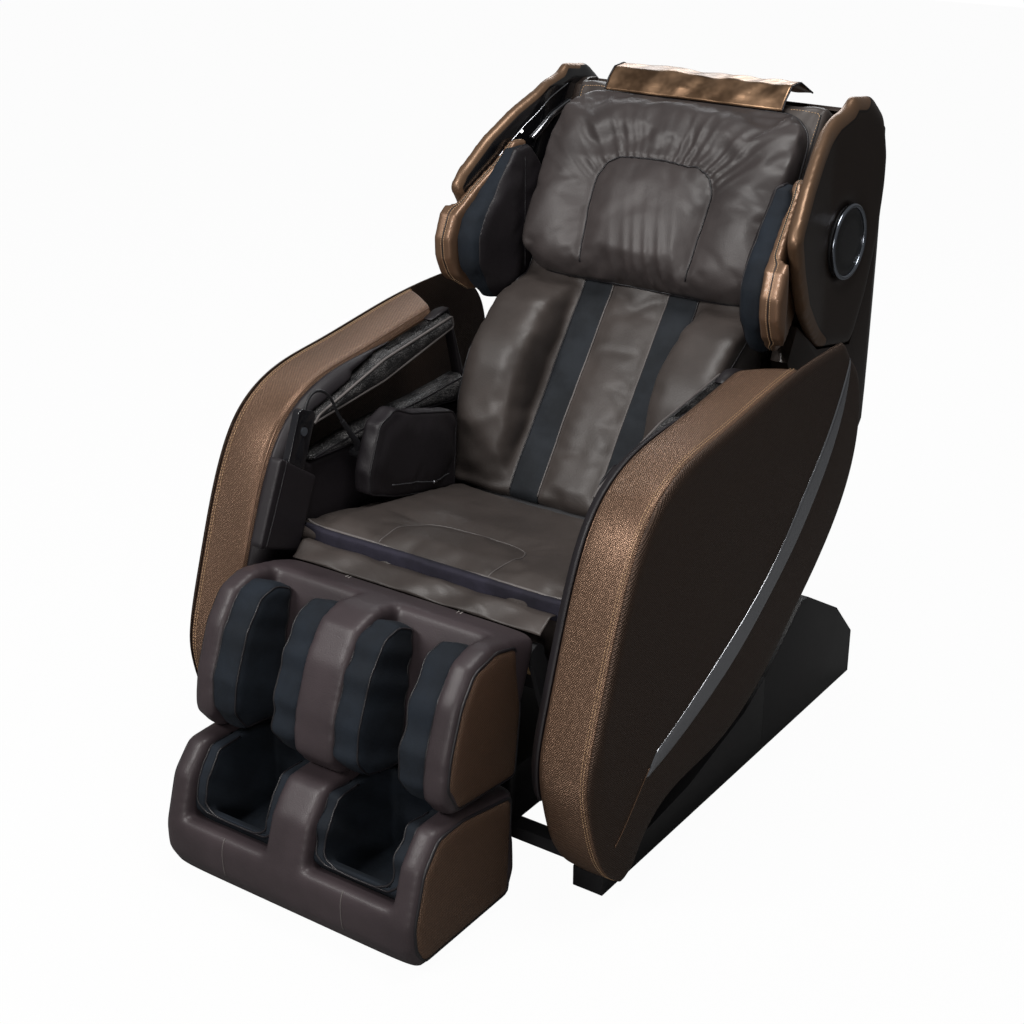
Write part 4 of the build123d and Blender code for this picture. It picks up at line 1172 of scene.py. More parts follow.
pocket = remeshed("pocket_cover", merged("handset_pocket"), 0.0028, 3)
belongs(paint(pocket, black_leather), "seat", "black_leather", "handset_pocket")
belongs(paint(painted_highlight_strip, blue_highlight_gloss), "seat", "black_gloss")
welted(
    "pocket_piping",
    pocket,
    [(-0.2455, -0.4185, 0.4300), (-0.2455, -0.3850, 0.5000), (-0.2455, -0.3560, 0.5640)],
    0.0014,
    piping_black,
    "seat",
    "black_leather",
)


# ---- Hip pads -----------------------------------------------------------------------------------
# Box pads in black leather that hold the hips, piped around their inner face. A zip with a bright pull
# closes the cover near the bottom. The real pads' navy strap isn't modelled.
def knit(name, shade, weave=1150.0, sheen=2.1):
    """Close warp-knit fabric, matt, with the lie of its nap showing."""
    f = Finish(name)
    nap = f.noise(11.0, 4.0, 0.65)
    loops = f.cells(weave, "F1", 0.35)
    lie = f.noise(240.0, 2.0)
    colour = f.mix(nap.blur_step(0.3, 0.75), shade, tuple(c * sheen for c in shade))
    return f.done(
        Base_Color=f.mix(loops * 0.35, colour, tuple(c * 0.4 for c in shade)),
        Roughness=nap * 0.1 + 0.78,
        Normal=f.bump(loops + lie * 0.6, 0.4, 0.0006),
        Specular_IOR_Level=0.3,
    )


navy = knit("navy_knit", (0.0062, 0.0092, 0.0140))
SOFTENING = 7


def puffed(obj, seams, rise, reach=0.028, pressure=2.5):
    """Blows a piece up between its seams, which stay where they are sewn. No point goes past rise.
    A firm pad, with no pressure given, is only crowned."""
    places, normals = points_of(obj)
    gap = far_from(places, seams)
    if pressure == 0:
        return moved(obj, places + normals * (0.7 * rise * (1 - np.exp(-gap / reach)))[:, None])
    sewn = obj.vertex_groups.new(name="sewn")
    sewn.add([int(k) for k in np.flatnonzero(gap < 0.006)], 1.0, "REPLACE")
    stuffing = obj.modifiers.new("stuffing", "CLOTH")
    fabric = stuffing.settings
    fabric.vertex_group_mass = "sewn"
    fabric.use_pressure = True
    fabric.uniform_pressure_force = pressure
    fabric.effector_weights.gravity = 0
    fabric.shrink_min = -0.03
    stuffing.point_cache.frame_start = 1
    stuffing.point_cache.frame_end = 20
    for number in range(1, 21):
        bpy.context.scene.frame_set(number)
    settle(obj)
    bpy.context.scene.frame_set(1)
    obj.vertex_groups.clear()
    grown, _ = points_of(obj)
    way = grown - places
    size = np.linalg.norm(way, axis=1)
    moved(obj, places + way * (np.minimum(size, rise) / np.maximum(size, 1e-9))[:, None])
    form = bmesh.new()
    form.from_mesh(obj.data)
    for _ in range(SOFTENING):
        bmesh.ops.smooth_vert(
            form, verts=form.verts, factor=0.5, use_axis_x=True, use_axis_y=True, use_axis_z=True
        )
    form.to_mesh(obj.data)
    form.free()
    return obj


def grooved(obj, lines, depth, width):
    """Pulls the surface in along sewn lines."""
    places, normals = points_of(obj)
    gap = far_from(places, lines)
    return moved(obj, places - normals * (depth * np.exp(-((gap / width) ** 2)))[:, None])


def patch(name, obj, cuts, lift, facing=None, least=0.3):
    """A cover laid on part of a piece: cut off square at planes (point, way out), raised by lift."""
    form = bmesh.new()
    form.from_mesh(obj.data)
    for point, way in cuts:
        bmesh.ops.bisect_plane(
            form, geom=[*form.verts, *form.edges, *form.faces], plane_co=point, plane_no=way, clear_outer=True
        )
    form.normal_update()
    if facing is not None:
        away = [f for f in form.faces if f.normal.dot(Vector(facing)) < least]
        bmesh.ops.delete(form, geom=away, context="FACES")
    bmesh.ops.delete(form, geom=[v for v in form.verts if not v.link_faces], context="VERTS")
    form.normal_update()
    ways = [v.normal.copy() for v in form.verts]
    under = {v: form.verts.new(v.co - 0.0006 * way) for v, way in zip(list(form.verts), ways)}
    for vert, way in zip(list(under), ways):
        vert.co += way * lift
    rims = [e for e in form.edges if e.is_boundary]
    loose = [(f.verts[:]) for f in form.faces]
    walls = [(e.verts[0], e.verts[1], e.link_loops[0].vert) for e in rims]
    for corners in loose:
        form.faces.new([under[v] for v in reversed(corners)])
    for a, b, first in walls:
        if first is a:
            a, b = b, a
        form.faces.new([a, b, under[b], under[a]])
    return piece(name, form)


HIP_PAD_X = 0.206
hip_line = soft_corners(caps("hip_pad_right", -HIP_PAD_X)[0], 0.005, 0.006)
hip_loop = sideways(hip_line[:, 0], hip_line[:, 1], np.full(len(hip_line), -HIP_PAD_X))
hip_pad = remeshed("hip_cushion_right", merged("hip_pad_right"), 0.004, 3)
hip_pad = paint(puffed(hip_pad, [hip_loop, hip_loop - (0.037, 0, 0)], 0.007), black_leather)
belongs(hip_pad, "seat", "black_leather", "hip_pad_right")
belongs(mirrored(hip_pad, "hip_cushion_left"), "seat", "black_leather", "hip_pad_left")
hip_bead = welted(
    "hip_piping_right", hip_pad, hip_loop, 0.0017, piping_black, "seat", "black_leather", closed=True
)
belongs(mirrored(hip_bead, "hip_piping_left"), "seat", "black_leather")
zip_line = [
    (-HIP_PAD_X, -0.150, 0.466),
    (-HIP_PAD_X, -0.085, 0.448),
    (-HIP_PAD_X, -0.035, 0.432),
    (-HIP_PAD_X, 0.010, 0.430),
]
hip_zip = welted("hip_zip_right", hip_pad, zip_line, 0.0013, chrome, "seat", "silver_trim", lift=-0.3)
paint(hip_zip, thread("zip_teeth", (0.045, 0.045, 0.05)))
belongs(mirrored(hip_zip, "hip_zip_left"), "seat", "silver_trim")
hip_pull = welted(
    "hip_zip_pull_right", hip_pad, [
        (-HIP_PAD_X, -0.041, 0.4335), (-HIP_PAD_X, -0.030, 0.431)
    ], 0.0026, chrome, "seat", "silver_trim"
)
belongs(mirrored(hip_pull, "hip_zip_pull_left"), "seat", "silver_trim")


# ---- Seat cushion -------------------------------------------------------------------------------
# Foam under soft grey-brown leather. A seam draws an arch over the front of the seat, the front
# edge is piped, and a crinkled dark zip band runs along under it.
grey_leather = leather("grey_leather", (0.043, 0.0355, 0.0325), 0.36)
seat_pad = remeshed("seat_pad", merged("seat_cushion"), 0.005, 5)


def both_sides(points):
    """A line given over the right half, from the side to the middle, carried on over the left."""
    return [*points, *[(-x, y, z) for x, y, z in reversed(points) if x != 0]]


seat_edge = lined_up(
    both_sides(
        [
            (-0.258, -0.294, 0.436),
            (-0.240, -0.307, 0.442),
            (-0.205, -0.314, 0.448),
            (-0.1, -0.316, 0.451),
            (0, -0.316, 0.451),
        ]
    )
)
seat_arch = lined_up(
    both_sides(
        [
            (-0.104, -0.314, 0.45),
            (-0.108, -0.270, 0.46),
            (-0.107, -0.225, 0.45),
            (-0.094, -0.194, 0.44),
            (-0.066, -0.180, 0.44),
            (0, -0.176, 0.44),
        ]
    )
)
seat_pad = puffed(seat_pad, [seat_edge, seat_arch], 0.009)
seat_edge, _ = on_surface(seat_edge, seat_pad)
seat_arch, _ = on_surface(seat_arch, seat_pad)
grooved(seat_pad, [seat_arch], 0.0022, 0.006)
belongs(paint(seat_pad, grey_leather), "seat", "grey_leather", "seat_cushion")
# the edge and the arch seam are piped in pale grey, painted lighter as the highlight along them
welted("seat_edge_piping", seat_pad, seat_edge, 0.0022, piping_grey, "seat", "grey_leather")
welted("seat_arch_seam", seat_pad, seat_arch, 0.0010, piping_grey, "seat", "grey_leather")
zip_dark = knit("zip_band", (0.012, 0.011, 0.018), sheen=2.6)
BAND_TOP, BAND_LOW = 0.446, 0.412
sides_x = np.linspace(-0.252, 0.252, 60)
band_edge = np.vstack(
    [
        np.column_stack([sides_x, BAND_LOW + 0.003 * waves(sides_x, 4, 20, 70)]),
        np.column_stack([sides_x, np.full(60, BAND_TOP)])[::-1],
    ]
)


def frontal(u, v, height):
    return np.column_stack([u, -height, v])


def band_front(depth, flat):
    curl = np.clip((np.abs(flat[:, 0]) - 0.20) / 0.06, 0, 1) ** 2 * 0.012
    folds = 0.0018 * waves(flat[:, 0] + 0.7 * flat[:, 1], 9, 30, 90) + 0.0007 * waves(flat[:, 0], 5, 60, 190)
    return 0.3245 + folds - curl - drop(depth, 0.004)


zip_band = slab(
    "seat_zip_band",
    even(band_edge, 0.006),
    0.006,
    frontal,
    band_front,
    lambda depth, flat: 0.312 + 0 * depth,
    rows=(0.0015, 0.004),
)
belongs(paint(zip_band, zip_dark), "seat", "navy_fabric")


# ---- Seat apron ---------------------------------------------------------------------------------
# A loose strip of the same leather, sewn under the zip band and to the top of the leg rest. It is
# drawn crumpled, as it lies while the leg rest is down.
def sheeted(name, path, half, pitch, rumple, thick):
    """A sheet across the chair along a path (y, z), crumpled by rumple(x, run), and its flat size."""
    path = even(np.array(path, float), pitch, closed=False)
    way = spine(path)
    out = np.column_stack([-way[:, 1], way[:, 0]])
    out = out if out[len(out) // 2, 1] > 0 else -out
    run = np.concatenate([[0], np.cumsum(np.linalg.norm(np.diff(path, axis=0), axis=1))])
    columns = np.linspace(-half, half, round(2 * half / pitch) + 1)
    x, along = np.meshgrid(columns, run)
    layers = []
    for low in (0.0, thick):
        height = rumple(x, along) - low
        layers.append(
            np.stack(
                [x, path[:, None, 0] + out[:, None, 0] * height, path[:, None, 1] + out[:, None, 1] * height],
                axis=2,
            )
        )
    form = bmesh.new()
    cloth_map = form.loops.layers.uv.new("cloth")
    rows, count = x.shape
    top, under = (
        [[form.verts.new(layer[i, k]) for k in range(count)] for i in range(rows)] for layer in layers
    )
    for i in range(rows - 1):
        for k in range(count - 1):
            for sheet in (top, under):
                form.faces.new([sheet[i][k], sheet[i][k + 1], sheet[i + 1][k + 1], sheet[i + 1][k]])
    around = [(i, 0) for i in range(rows)] + [(rows - 1, k) for k in range(1, count)]
    around += [(i, count - 1) for i in range(rows - 2, -1, -1)] + [(0, k) for k in range(count - 2, 0, -1)]
    for (i, k), (m, n) in zip(around, around[1:] + around[:1]):
        form.faces.new([top[i][k], top[m][n], under[m][n], under[i][k]])
    spread = {
        vert: (x[i, k], along[i, k])
        for sheet in (top, under)
        for i in range(rows)
        for k, vert in enumerate(sheet[i])
    }
    for face in form.faces:
        for loop in face.loops:
            loop[cloth_map].uv = spread[loop.vert]
    bmesh.ops.recalc_face_normals(form, faces=form.faces)
    upper = layers[0]
    steps = np.cross(upper[1:, :-1] - upper[:-1, :-1], upper[:-1, 1:] - upper[:-1, :-1])
    area = np.linalg.norm(steps, axis=2).sum()
    return piece(name, form), (2 * half, area / (2 * half))


def apron_folds(x, run):
    pinned = np.sin(pi * np.clip(run / 0.05, 0, 1)) ** 0.7
    crush = waves(x + 1.2 * run, 21, 18, 70) * 0.0030 + waves(x * 1.3 - 2.0 * run, 22, 40, 110) * 0.0010
    return pinned * (crush + 0.0015)


apron, apron_flat = sheeted(
    "seat_apron_sheet", [
        (-0.3215, 0.4250), (-0.3365, 0.4260), (-0.3500, 0.4180), (-0.3640, 0.4090)
    ], 0.2345, 0.004, apron_folds, 0.0016
)
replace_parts(paint(apron, grey_leather), "seat_apron")
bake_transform(apron)


# ---- Rear shell ---------------------------------------------------------------------------------
# Moulded shell round the rear of the back, satin brown, parted from the wings by a fine joint.
def satin(name, shade, rough, coat_weight=0.15):
    """Painted moulding in metallic brown: soft flake under a thin lacquer."""
    f = Finish(name)
    flake = f.noise(1300.0, 2.0)
    cloud = f.noise(5.0, 3.0)
    return f.done(
        Base_Color=f.mix(cloud, shade, tuple(c * 1.4 for c in shade)),
        Metallic=0.55,
        Roughness=flake * 0.12 + (rough - 0.06),
        Coat_Weight=coat_weight,
        Normal=f.bump(flake, 0.12, 0.0003),
    )


shell_brown = satin("shell_brown", (0.030, 0.021, 0.017), 0.42)
belongs(
    paint(eased("rear_shell", "back_shell", 0.012, 4), shell_brown), "back", "shell_plastic", "back_shell"
)


# ---- Back cushion -------------------------------------------------------------------------------
# Foam under grey-brown leather with two raised bolsters, creased where they meet the seat. Two navy
# strips run down over the rollers' path, with pale grey piping along the leather between them, painted
# lighter as the highlight along those seams.
HIP = np.array([0.0615, 0.380])
LEAN = radians(29.0)


def leaned(points):
    """Each point's run up the back and depth behind its front plane."""
    y, z = points[:, 1] - HIP[0], points[:, 2] - HIP[1]
    return y * sin(LEAN) + z * cos(LEAN), y * cos(LEAN) - z * sin(LEAN)


def on_back(x, run, depth):
    """The place of a point from its run up the back and its depth."""
    return (x, HIP[0] + run * sin(LEAN) + depth * cos(LEAN), HIP[1] + run * cos(LEAN) - depth * sin(LEAN))


FRONT_WAY = (0.0, -cos(LEAN), sin(LEAN))


def bolster_creases(points):
    run, depth = leaned(points)
    x = np.abs(points[:, 0])
    low = np.exp(-(((run - 0.075) / 0.065) ** 2)) * np.clip((x - 0.115) / 0.03, 0, 1)
    fold = waves(run + 0.45 * x, 31, 90, 190) * 0.0030 + waves(run * 0.8 - 0.6 * x, 32, 50, 120) * 0.0025
    soft = 0.0011 * waves(run * 1.1 + x, 33, 12, 30)
    return low * fold + soft


back_pad = remeshed("back_pad", merged("back_cushion"), 0.0055, 6)
strip_lines = [
    lined_up([on_back(x, 0.02, -0.02), on_back(x, 0.12, -0.005), on_back(x, 0.43, 0.034)])
    for x in (-0.112, -0.055, 0.055, 0.112)
]
side_seams = [
    lined_up(
        [on_back(x, 0.03, -0.03), on_back(x, 0.22, -0.08), on_back(x, 0.40, 0.02), on_back(x, 0.75, 0.03)]
    )
    for x in (-0.234, 0.234)
]
strip_lines = [on_surface(line, back_pad)[0] for line in strip_lines]
side_seams = [on_surface(line, back_pad)[0] for line in side_seams]
back_pad = puffed(back_pad, [*strip_lines, *side_seams], 0.007)
places, normals = points_of(back_pad)
back_pad = moved(back_pad, places + normals * bolster_creases(places)[:, None])
grooved(back_pad, strip_lines, 0.0022, 0.006)
belongs(paint(back_pad, grey_leather), "back", "grey_leather", "back_cushion")
strip_navy = knit("back_strip", (0.0105, 0.0125, 0.0155), weave=800.0)
for label, side in (("left", 1), ("right", -1)):
    strip = patch(
        f"back_strip_{label}",
        back_pad,
        [
            ((side * 0.055, 0, 0), (-side, 0, 0)),
            ((side * 0.112, 0, 0), (side, 0, 0)),
            (on_back(0, 0.44, 0), (0, sin(LEAN), cos(LEAN))),
        ],
        0.0012,
        FRONT_WAY,
        0.25,
    )
    belongs(paint(strip, strip_navy), "back", "navy_fabric")
# the two middle beads are pale grey piping, painted lighter as the highlight along those seams
for number, (line, shade) in enumerate(
    zip(strip_lines, (piping_black, piping_grey, piping_grey, piping_black))
):
    welted(f"back_strip_piping_{number}", back_pad, line, 0.0015, shade, "back", "grey_leather", lift=0.7)
for number, line in enumerate(side_seams):
    welted(f"back_side_piping_{number}", back_pad, line, 0.0014, piping_black, "back", "grey_leather")
corner_thread = [
    on_surface(
        lined_up(
            [
                on_back(side * 0.180, 0.752, 0.03),
                on_back(side * 0.231, 0.752, 0.03),
                on_back(side * 0.231, 0.700, 0.03),
            ]
        ),
        back_pad,
        0.0004,
    )[0]
    for side in (1, -1)
]
belongs(stitched("back_corner_stitches", corner_thread, gold_thread), "back", "grey_leather")


# ---- Pillow -------------------------------------------------------------------------------------
# A soft headrest buttoned over the top of the back, piped around its rim. The leather is gathered
# into the seam of a smooth middle panel, so folds fan out above it and gather again at the bottom.
PANEL_TOP = 0.618
panel_half = [
    (0.104, 0.418),
    (0.107, 0.470),
    (0.112, 0.530),
    (0.113, 0.575),
    (0.100, 0.604),
    (0.074, PANEL_TOP),
    (0.0, PANEL_TOP + 0.003),
]
panel_plan = lined_up([*panel_half, *[(-x, run) for x, run in reversed(panel_half[:-1])]], 0.005)
PILLOW_MIDDLE, PILLOW_HALF, PILLOW_RISE, PILLOW_CORNER = 0.577, 0.232, 0.165, 0.060


def round_corners(x, run):
    """Draws the pillow's square corners in to a round."""
    dx = np.clip(np.abs(x) - (PILLOW_HALF - PILLOW_CORNER), 0, None)
    dr = np.clip(np.abs(run - PILLOW_MIDDLE) - (PILLOW_RISE - PILLOW_CORNER), 0, None)
    scale = np.where((dx > 0) & (dr > 0), np.maximum(dx, dr) / np.maximum(np.hypot(dx, dr), 1e-9), 1.0)
    return x - np.sign(x) * dx * (1 - scale), run - np.sign(run - PILLOW_MIDDLE) * dr * (1 - scale)


square = even(np.array([(0.229, 0.415), (0.229, 0.738), (-0.229, 0.738), (-0.229, 0.415)]), 0.006)
pillow_rim_plan = soft_corners(np.column_stack(round_corners(*square.T)), 0.006, 0.004)


def pillow_folds(points):
    run, depth = leaned(points)
    plan = np.column_stack([points[:, 0], run])
    to_seam = gap_to(plan, panel_plan, closed=False)
    inside = within(plan, np.vstack([panel_plan, [(-0.104, 0.40), (0.104, 0.40)]]))
    turn = np.arctan2(run - 0.47, points[:, 0])
    fan = waves(turn, 41, 14, 44, 7)
    above = np.exp(-to_seam / 0.055) * np.clip((run - 0.56) / 0.05, 0, 1) * ~inside
    crease = -np.abs(fan) ** 0.8 * 0.0052 + 0.002
    bottom = np.exp(-np.clip(run - 0.425, 0, 1) / 0.045) * np.clip(
        1.0 - np.abs(points[:, 0]) / 0.13, 0, 1
    ) ** 0.5 * inside
    hang = -np.abs(waves(points[:, 0] + 0.25 * (run - 0.42), 43, 60, 170, 6)) ** 0.8 * 0.0055 + 0.002
    slack = 0.0013 * waves(points[:, 0] + 0.6 * run, 44, 15, 45)
    front = np.clip((0.02 - depth) / 0.02, 0, 1)
    return front * (above * crease + bottom * hang + slack)


pillow_pad = remeshed("pillow_pad", merged("pillow"), 0.004, 7)
places, _ = points_of(pillow_pad)
run, depth = leaned(places)
x, run = round_corners(places[:, 0], run)
pillow_pad = moved(pillow_pad, np.column_stack(on_back(x, run, depth)))
pillow_rim = np.array([on_back(x, run, 0.022) for x, run in pillow_rim_plan])
pillow_panel = np.array([on_back(x, run, -0.032) for x, run in panel_plan])
pillow_rim, _ = on_surface(pillow_rim, pillow_pad)
pillow_panel, _ = on_surface(pillow_panel, pillow_pad)
pillow_pad = puffed(pillow_pad, [pillow_rim, pillow_panel], 0.013)
places, normals = points_of(pillow_pad)
pillow_pad = moved(pillow_pad, places + normals * pillow_folds(places)[:, None])
grooved(pillow_pad, [pillow_panel], 0.0032, 0.006)
# painted shade: the same grey leather as the seat and back, made darker on the pillow as painted shade
shaded_pillow_leather = leather("shaded_pillow_leather", (0.036, 0.030, 0.0295), 0.36)
belongs(paint(pillow_pad, shaded_pillow_leather), "back", "grey_leather", "pillow")
welted("pillow_rim_piping", pillow_pad, pillow_rim, 0.0022, piping_black, "back", "grey_leather", closed=True)
welted(
    "pillow_panel_piping", pillow_pad, pillow_panel, 0.0013, piping_black, "back", "grey_leather", lift=0.6
)


# ---- Pillow flap --------------------------------------------------------------------------------
# A loose flap of metallic bronze leatherette, sewn to the pillow's top edge and folded back over
# the shell, where it holds the pillow up. It is creased and dark at its bound edges.
def foil(name, shade, painted_glint):
    """Crinkled metallic leatherette, its colour painted bright where the creases lift, as painted highlights.
    """
    f = Finish(name)
    crinkle = f.noise(15.0, 3.0, 0.5)
    fine = f.noise(120.0, 3.0)
    return f.done(
        # painted highlight: the raised crinkles take the brighter glint colour
        Base_Color=f.mix(crinkle.blur_step(0.4, 0.7), shade, painted_glint),
        Metallic=0.8,
        Roughness=fine * 0.15 + 0.26,
        Normal=f.bump(crinkle + fine * 0.2, 0.35, 0.003),
    )


# the second colour is the painted highlight on the crinkles
bronze_foil = foil("bronze_foil", (0.10, 0.058, 0.032), (0.34, 0.21, 0.125))


def flap_creases(x, run):
    edge = np.clip(run / 0.02, 0.15, 1)
    return edge * (
        0.0022 * waves(x + 0.8 * run, 51, 14, 60) + 0.0007 * waves(x * 1.4 - run, 52, 50, 120)
    ) + 0.001


flap_path = [
    on_back(0, run, depth)[1:] for run, depth in (
        (0.742, 0.016), (0.764, 0.017), (0.788, 0.026), (0.805, 0.052), (0.807, 0.106)
    )
]
flap, flap_flat = sheeted("pillow_flap_sheet", flap_path, 0.172, 0.004, flap_creases, 0.0022)
belongs(paint(flap, bronze_foil), "back", "bronze_leather", "pillow_flap")
for number, x in enumerate((-0.1725, 0.1725)):
    side_edge = lined_up([(x, y, z) for y, z in flap_path], 0.004)
    belongs(
        paint(piping(f"flap_binding_{number}", side_edge, 0.0016), piping_black), "back", "bronze_leather"
    )


# ---- Wings --------------------------------------------------------------------------------------
# Moulded side wings that shelter the head. A bronze band wraps the front edge, the outer face is
# satin brown and the inner face gloss black, with a bright line and a chrome bar set in it.
def at_hip(*points):
    return np.array([(HIP[0] + y / 1000, HIP[1] + z / 1000) for y, z in points])


wing_front = even(
    at_hip(
        (440, 670),
        (402, 676),
        (388, 662),
        (340, 652),
        (262, 614),
        (200, 574),
        (140, 520),
        (124, 494),
        (160, 425),
        (210, 355),
        (265, 310),
        (330, 262),
    ),
    0.004,
    closed=False,
)


def winged(name):
    """Bronze along the front edge, brown outside and gloss black inside, told by two attributes."""
    f = Finish(name)
    front = f.place.node("ShaderNodeAttribute", {"attribute_name": "front"}, output=2)
    flank = f.place.node("ShaderNodeAttribute", {"attribute_name": "flank"}, output=2)
    grain = f.noise(1300.0, 2.0)
    cloud = f.noise(8.0, 3.0)
    band = 1 - front.blur_step(0.0225, 0.0245)
    inner = (1 - flank.blur_step(-0.75, -0.55)) * front.blur_step(0.010, 0.013)
    brown = f.mix(cloud, (0.034, 0.023, 0.018), (0.048, 0.033, 0.026))
    gold = f.mix(cloud, (0.15, 0.088, 0.052), (0.22, 0.135, 0.083))
    edge = front.blur_step(0.0235, 0.026) - front.blur_step(0.026, 0.029)
    return f.done(
        Base_Color=f.mix(
            inner, f.mix(edge * 0.8, f.mix(band, brown, gold), (0.008, 0.006, 0.005)), (0.004, 0.004, 0.005)
        ),
        Metallic=(1 - inner) * 0.6,
        Roughness=grain * 0.1 + 0.34 - inner * 0.22,
        Coat_Weight=inner * 0.7,
        Normal=f.bump(grain, 0.1, 0.0003),
    )


def marked(obj, **values):
    """Stores a value for each vertex."""
    for name, value in values.items():
        held = obj.data.attributes.new(name, "FLOAT", "POINT")
        held.data.foreach_set("value", np.asarray(value, np.float32))
    return obj


def twin(obj, name, **values):
    """The same piece for the other side, with its vertex values."""
    other = mirrored(obj, name)
    return marked(other, **values)


wing_finish = winged("wing_finish")
wing = remeshed("wing_cover_left", merged("wing_left"), 0.0042, 45)
places, normals = points_of(wing)
wing_values = {"front": gap_to(places[:, 1:], wing_front, closed=False), "flank": normals[:, 0]}
belongs(paint(marked(wing, **wing_values), wing_finish), "back", "brown_panel", "wing_left")
belongs(twin(wing, "wing_cover_right", **wing_values), "back", "brown_panel", "wing_right")


def both(obj, body, finish_slot, replaced=()):
    """Puts a left-hand piece and its mirror image on the chair."""
    belongs(obj, body, finish_slot, *replaced)
    return belongs(mirrored(obj, obj.name.replace("_left", "_right")), body, finish_slot)


def inside_wing(points, lift):
    """A line laid on the inner face of the left wing."""
    line = lined_up(points, 0.005)
    return on_surface(sideways(*line.T, np.full(len(line), 0.24)), wing, lift)[0]


bright_line = inside_wing(at_hip((398, 640), (340, 622), (270, 584), (210, 540), (165, 500)), 0.0004)
both(paint(piping("wing_line_left", bright_line, 0.0012), chrome), "back", "silver_trim")
bar_line = inside_wing(at_hip((405, 606), (345, 590), (286, 556)), 0.002)
both(
    paint(piping("wing_bar_left", bar_line, 0.0062, flatten=0.6, out=(-1, 0, 0)), chrome),
    "back",
    "silver_trim",
)
lit = Finish("standby_light")
lit.done(
    Base_Color=lit.mix(lit.noise(400.0), (0.8, 0.8, 0.8), (0.9, 0.9, 0.9)),
    Emission_Color=(1.0, 1.0, 1.0),
    Emission_Strength=2.5,
    Roughness=lit.noise(300.0) * 0.1 + 0.3,
)
led_spot = inside_wing(at_hip((262, 574), (258, 572)), 0.001)
both(paint(piping("wing_led_left", led_spot, 0.0022), lit.material), "back", "silver_trim")


# ---- Speakers -----------------------------------------------------------------------------------
# A round speaker in each wing: a chrome ring round a black pierced grille that domes slightly.
def grille(name):
    """Black pierced metal in staggered rows."""
    f = Finish(name)
    holes = f.cells(420.0, "F1", 0.12)
    open_part = 1 - holes.blur_step(0.25, 0.42)
    return f.done(
        Base_Color=f.mix(open_part, (0.03, 0.03, 0.032), (0.003, 0.003, 0.003)),
        Metallic=0.3,
        Roughness=open_part * 0.4 + 0.35,
        Normal=f.bump(1 - open_part, 0.5, 0.0008),
    )


speaker_at = at_hip((400, 434))[0]
round_turn = np.linspace(0, tau, 72, endpoint=False)
speaker_edge = speaker_at + 0.0605 * np.column_stack([np.cos(round_turn), np.sin(round_turn)])
speaker = slab(
    "speaker_grille_left",
    speaker_edge,
    0.006,
    sideways,
    lambda depth, flat: 0.2955 + 0.004 * (1 - np.exp(-depth / 0.02)),
    lambda depth, flat: 0.2850 + 0 * depth,
    rows=(0.002,),
)
both(paint(speaker, grille("speaker_grille")), "back", "speaker", ("speakers",))
ring = piping(
    "speaker_ring_left",
    sideways(*speaker_edge.T, np.full(72, 0.2965)),
    0.0042,
    closed=True,
    sides=12,
    out=(1, 0, 0),
)
both(paint(ring, chromed("speaker_chrome", (0.30, 0.33, 0.38), 0.12)), "back", "silver_trim")


# ---- Shoulder pads ------------------------------------------------------------------------------
# Air pads that press on the shoulders: a bronze padded rim with two rows of stitches, a navy gusset
# and a black leather cushion with piping around its face.
rim_line = lined_up(
    at_hip(
        (262, 563), (236, 563), (218, 543), (146, 494), (97, 456), (80, 415), (82, 381), (96, 350), (130, 318)
    )
)


def rim_x(y, share):
    """Across the rim, from its inner side at 0 to its outer at 1."""
    ahead = (y - HIP[0]) * 1000
    outer = np.interp(ahead, (70, 110, 118, 150, 276), (331, 331, 311, 303, 276))
    inner = np.interp(ahead, (70, 150, 262), (300, 286, 262))
    return (inner + share * (outer - inner)) / 1000


rim = remeshed("shoulder_roll_left", merged("shoulder_rim_left"), 0.0036, 4)
rim = paint(
    puffed(rim, [sideways(*rim_line.T, rim_x(rim_line[:, 0], 0.45))], 0.005, pressure=0),
    satin("rim_bronze", (0.17, 0.10, 0.062), 0.4),
)
belongs(rim, "back", "bronze_leather", "shoulder_rim_left")
belongs(mirrored(rim, "shoulder_roll_right"), "back", "bronze_leather", "shoulder_rim_right")
rim_rows = [
    on_surface(sideways(*rim_line.T, rim_x(rim_line[:, 0], share)), rim, 0.0003)[0] for share in (0.36, 0.54)
]
both(stitched("shoulder_stitches_left", rim_rows, gold_thread, 0.004, 0.003), "back", "bronze_leather")
both(
    paint(
        piping(
            "shoulder_seam_left",
            on_surface(sideways(*rim_line.T, rim_x(rim_line[:, 0], 0.45)), rim, 0.0)[0],
            0.0012,
        ),
        piping_black,
    ),
    "back",
    "bronze_leather",
)

PAD_FACE = 0.2435
pad_loop = soft_corners(caps("shoulder_cushion_left", 0.243)[0], 0.005, 0.008)
pad_ring = sideways(*pad_loop.T, np.full(len(pad_loop), PAD_FACE))
shoulder = remeshed("shoulder_pad_left", merged("shoulder_cushion_left"), 0.004, 4)
shoulder = paint(puffed(shoulder, [pad_ring], 0.009), navy)
belongs(shoulder, "back", "navy_fabric", "shoulder_cushion_left")
belongs(mirrored(shoulder, "shoulder_pad_right"), "back", "navy_fabric", "shoulder_cushion_right")
pad_cover = patch("shoulder_cover_left", shoulder, [((0.2525, 0, 0), (1, 0, 0))], 0.0012)
both(paint(pad_cover, black_leather), "back", "black_leather")
pad_spots, pad_ways = on_surface(pad_ring + (0.009, 0, 0), shoulder, 0.0010)
both(
    paint(piping("shoulder_piping_left", pad_spots, 0.0018, True, out=pad_ways), piping_black),
    "back",
    "black_leather",
)


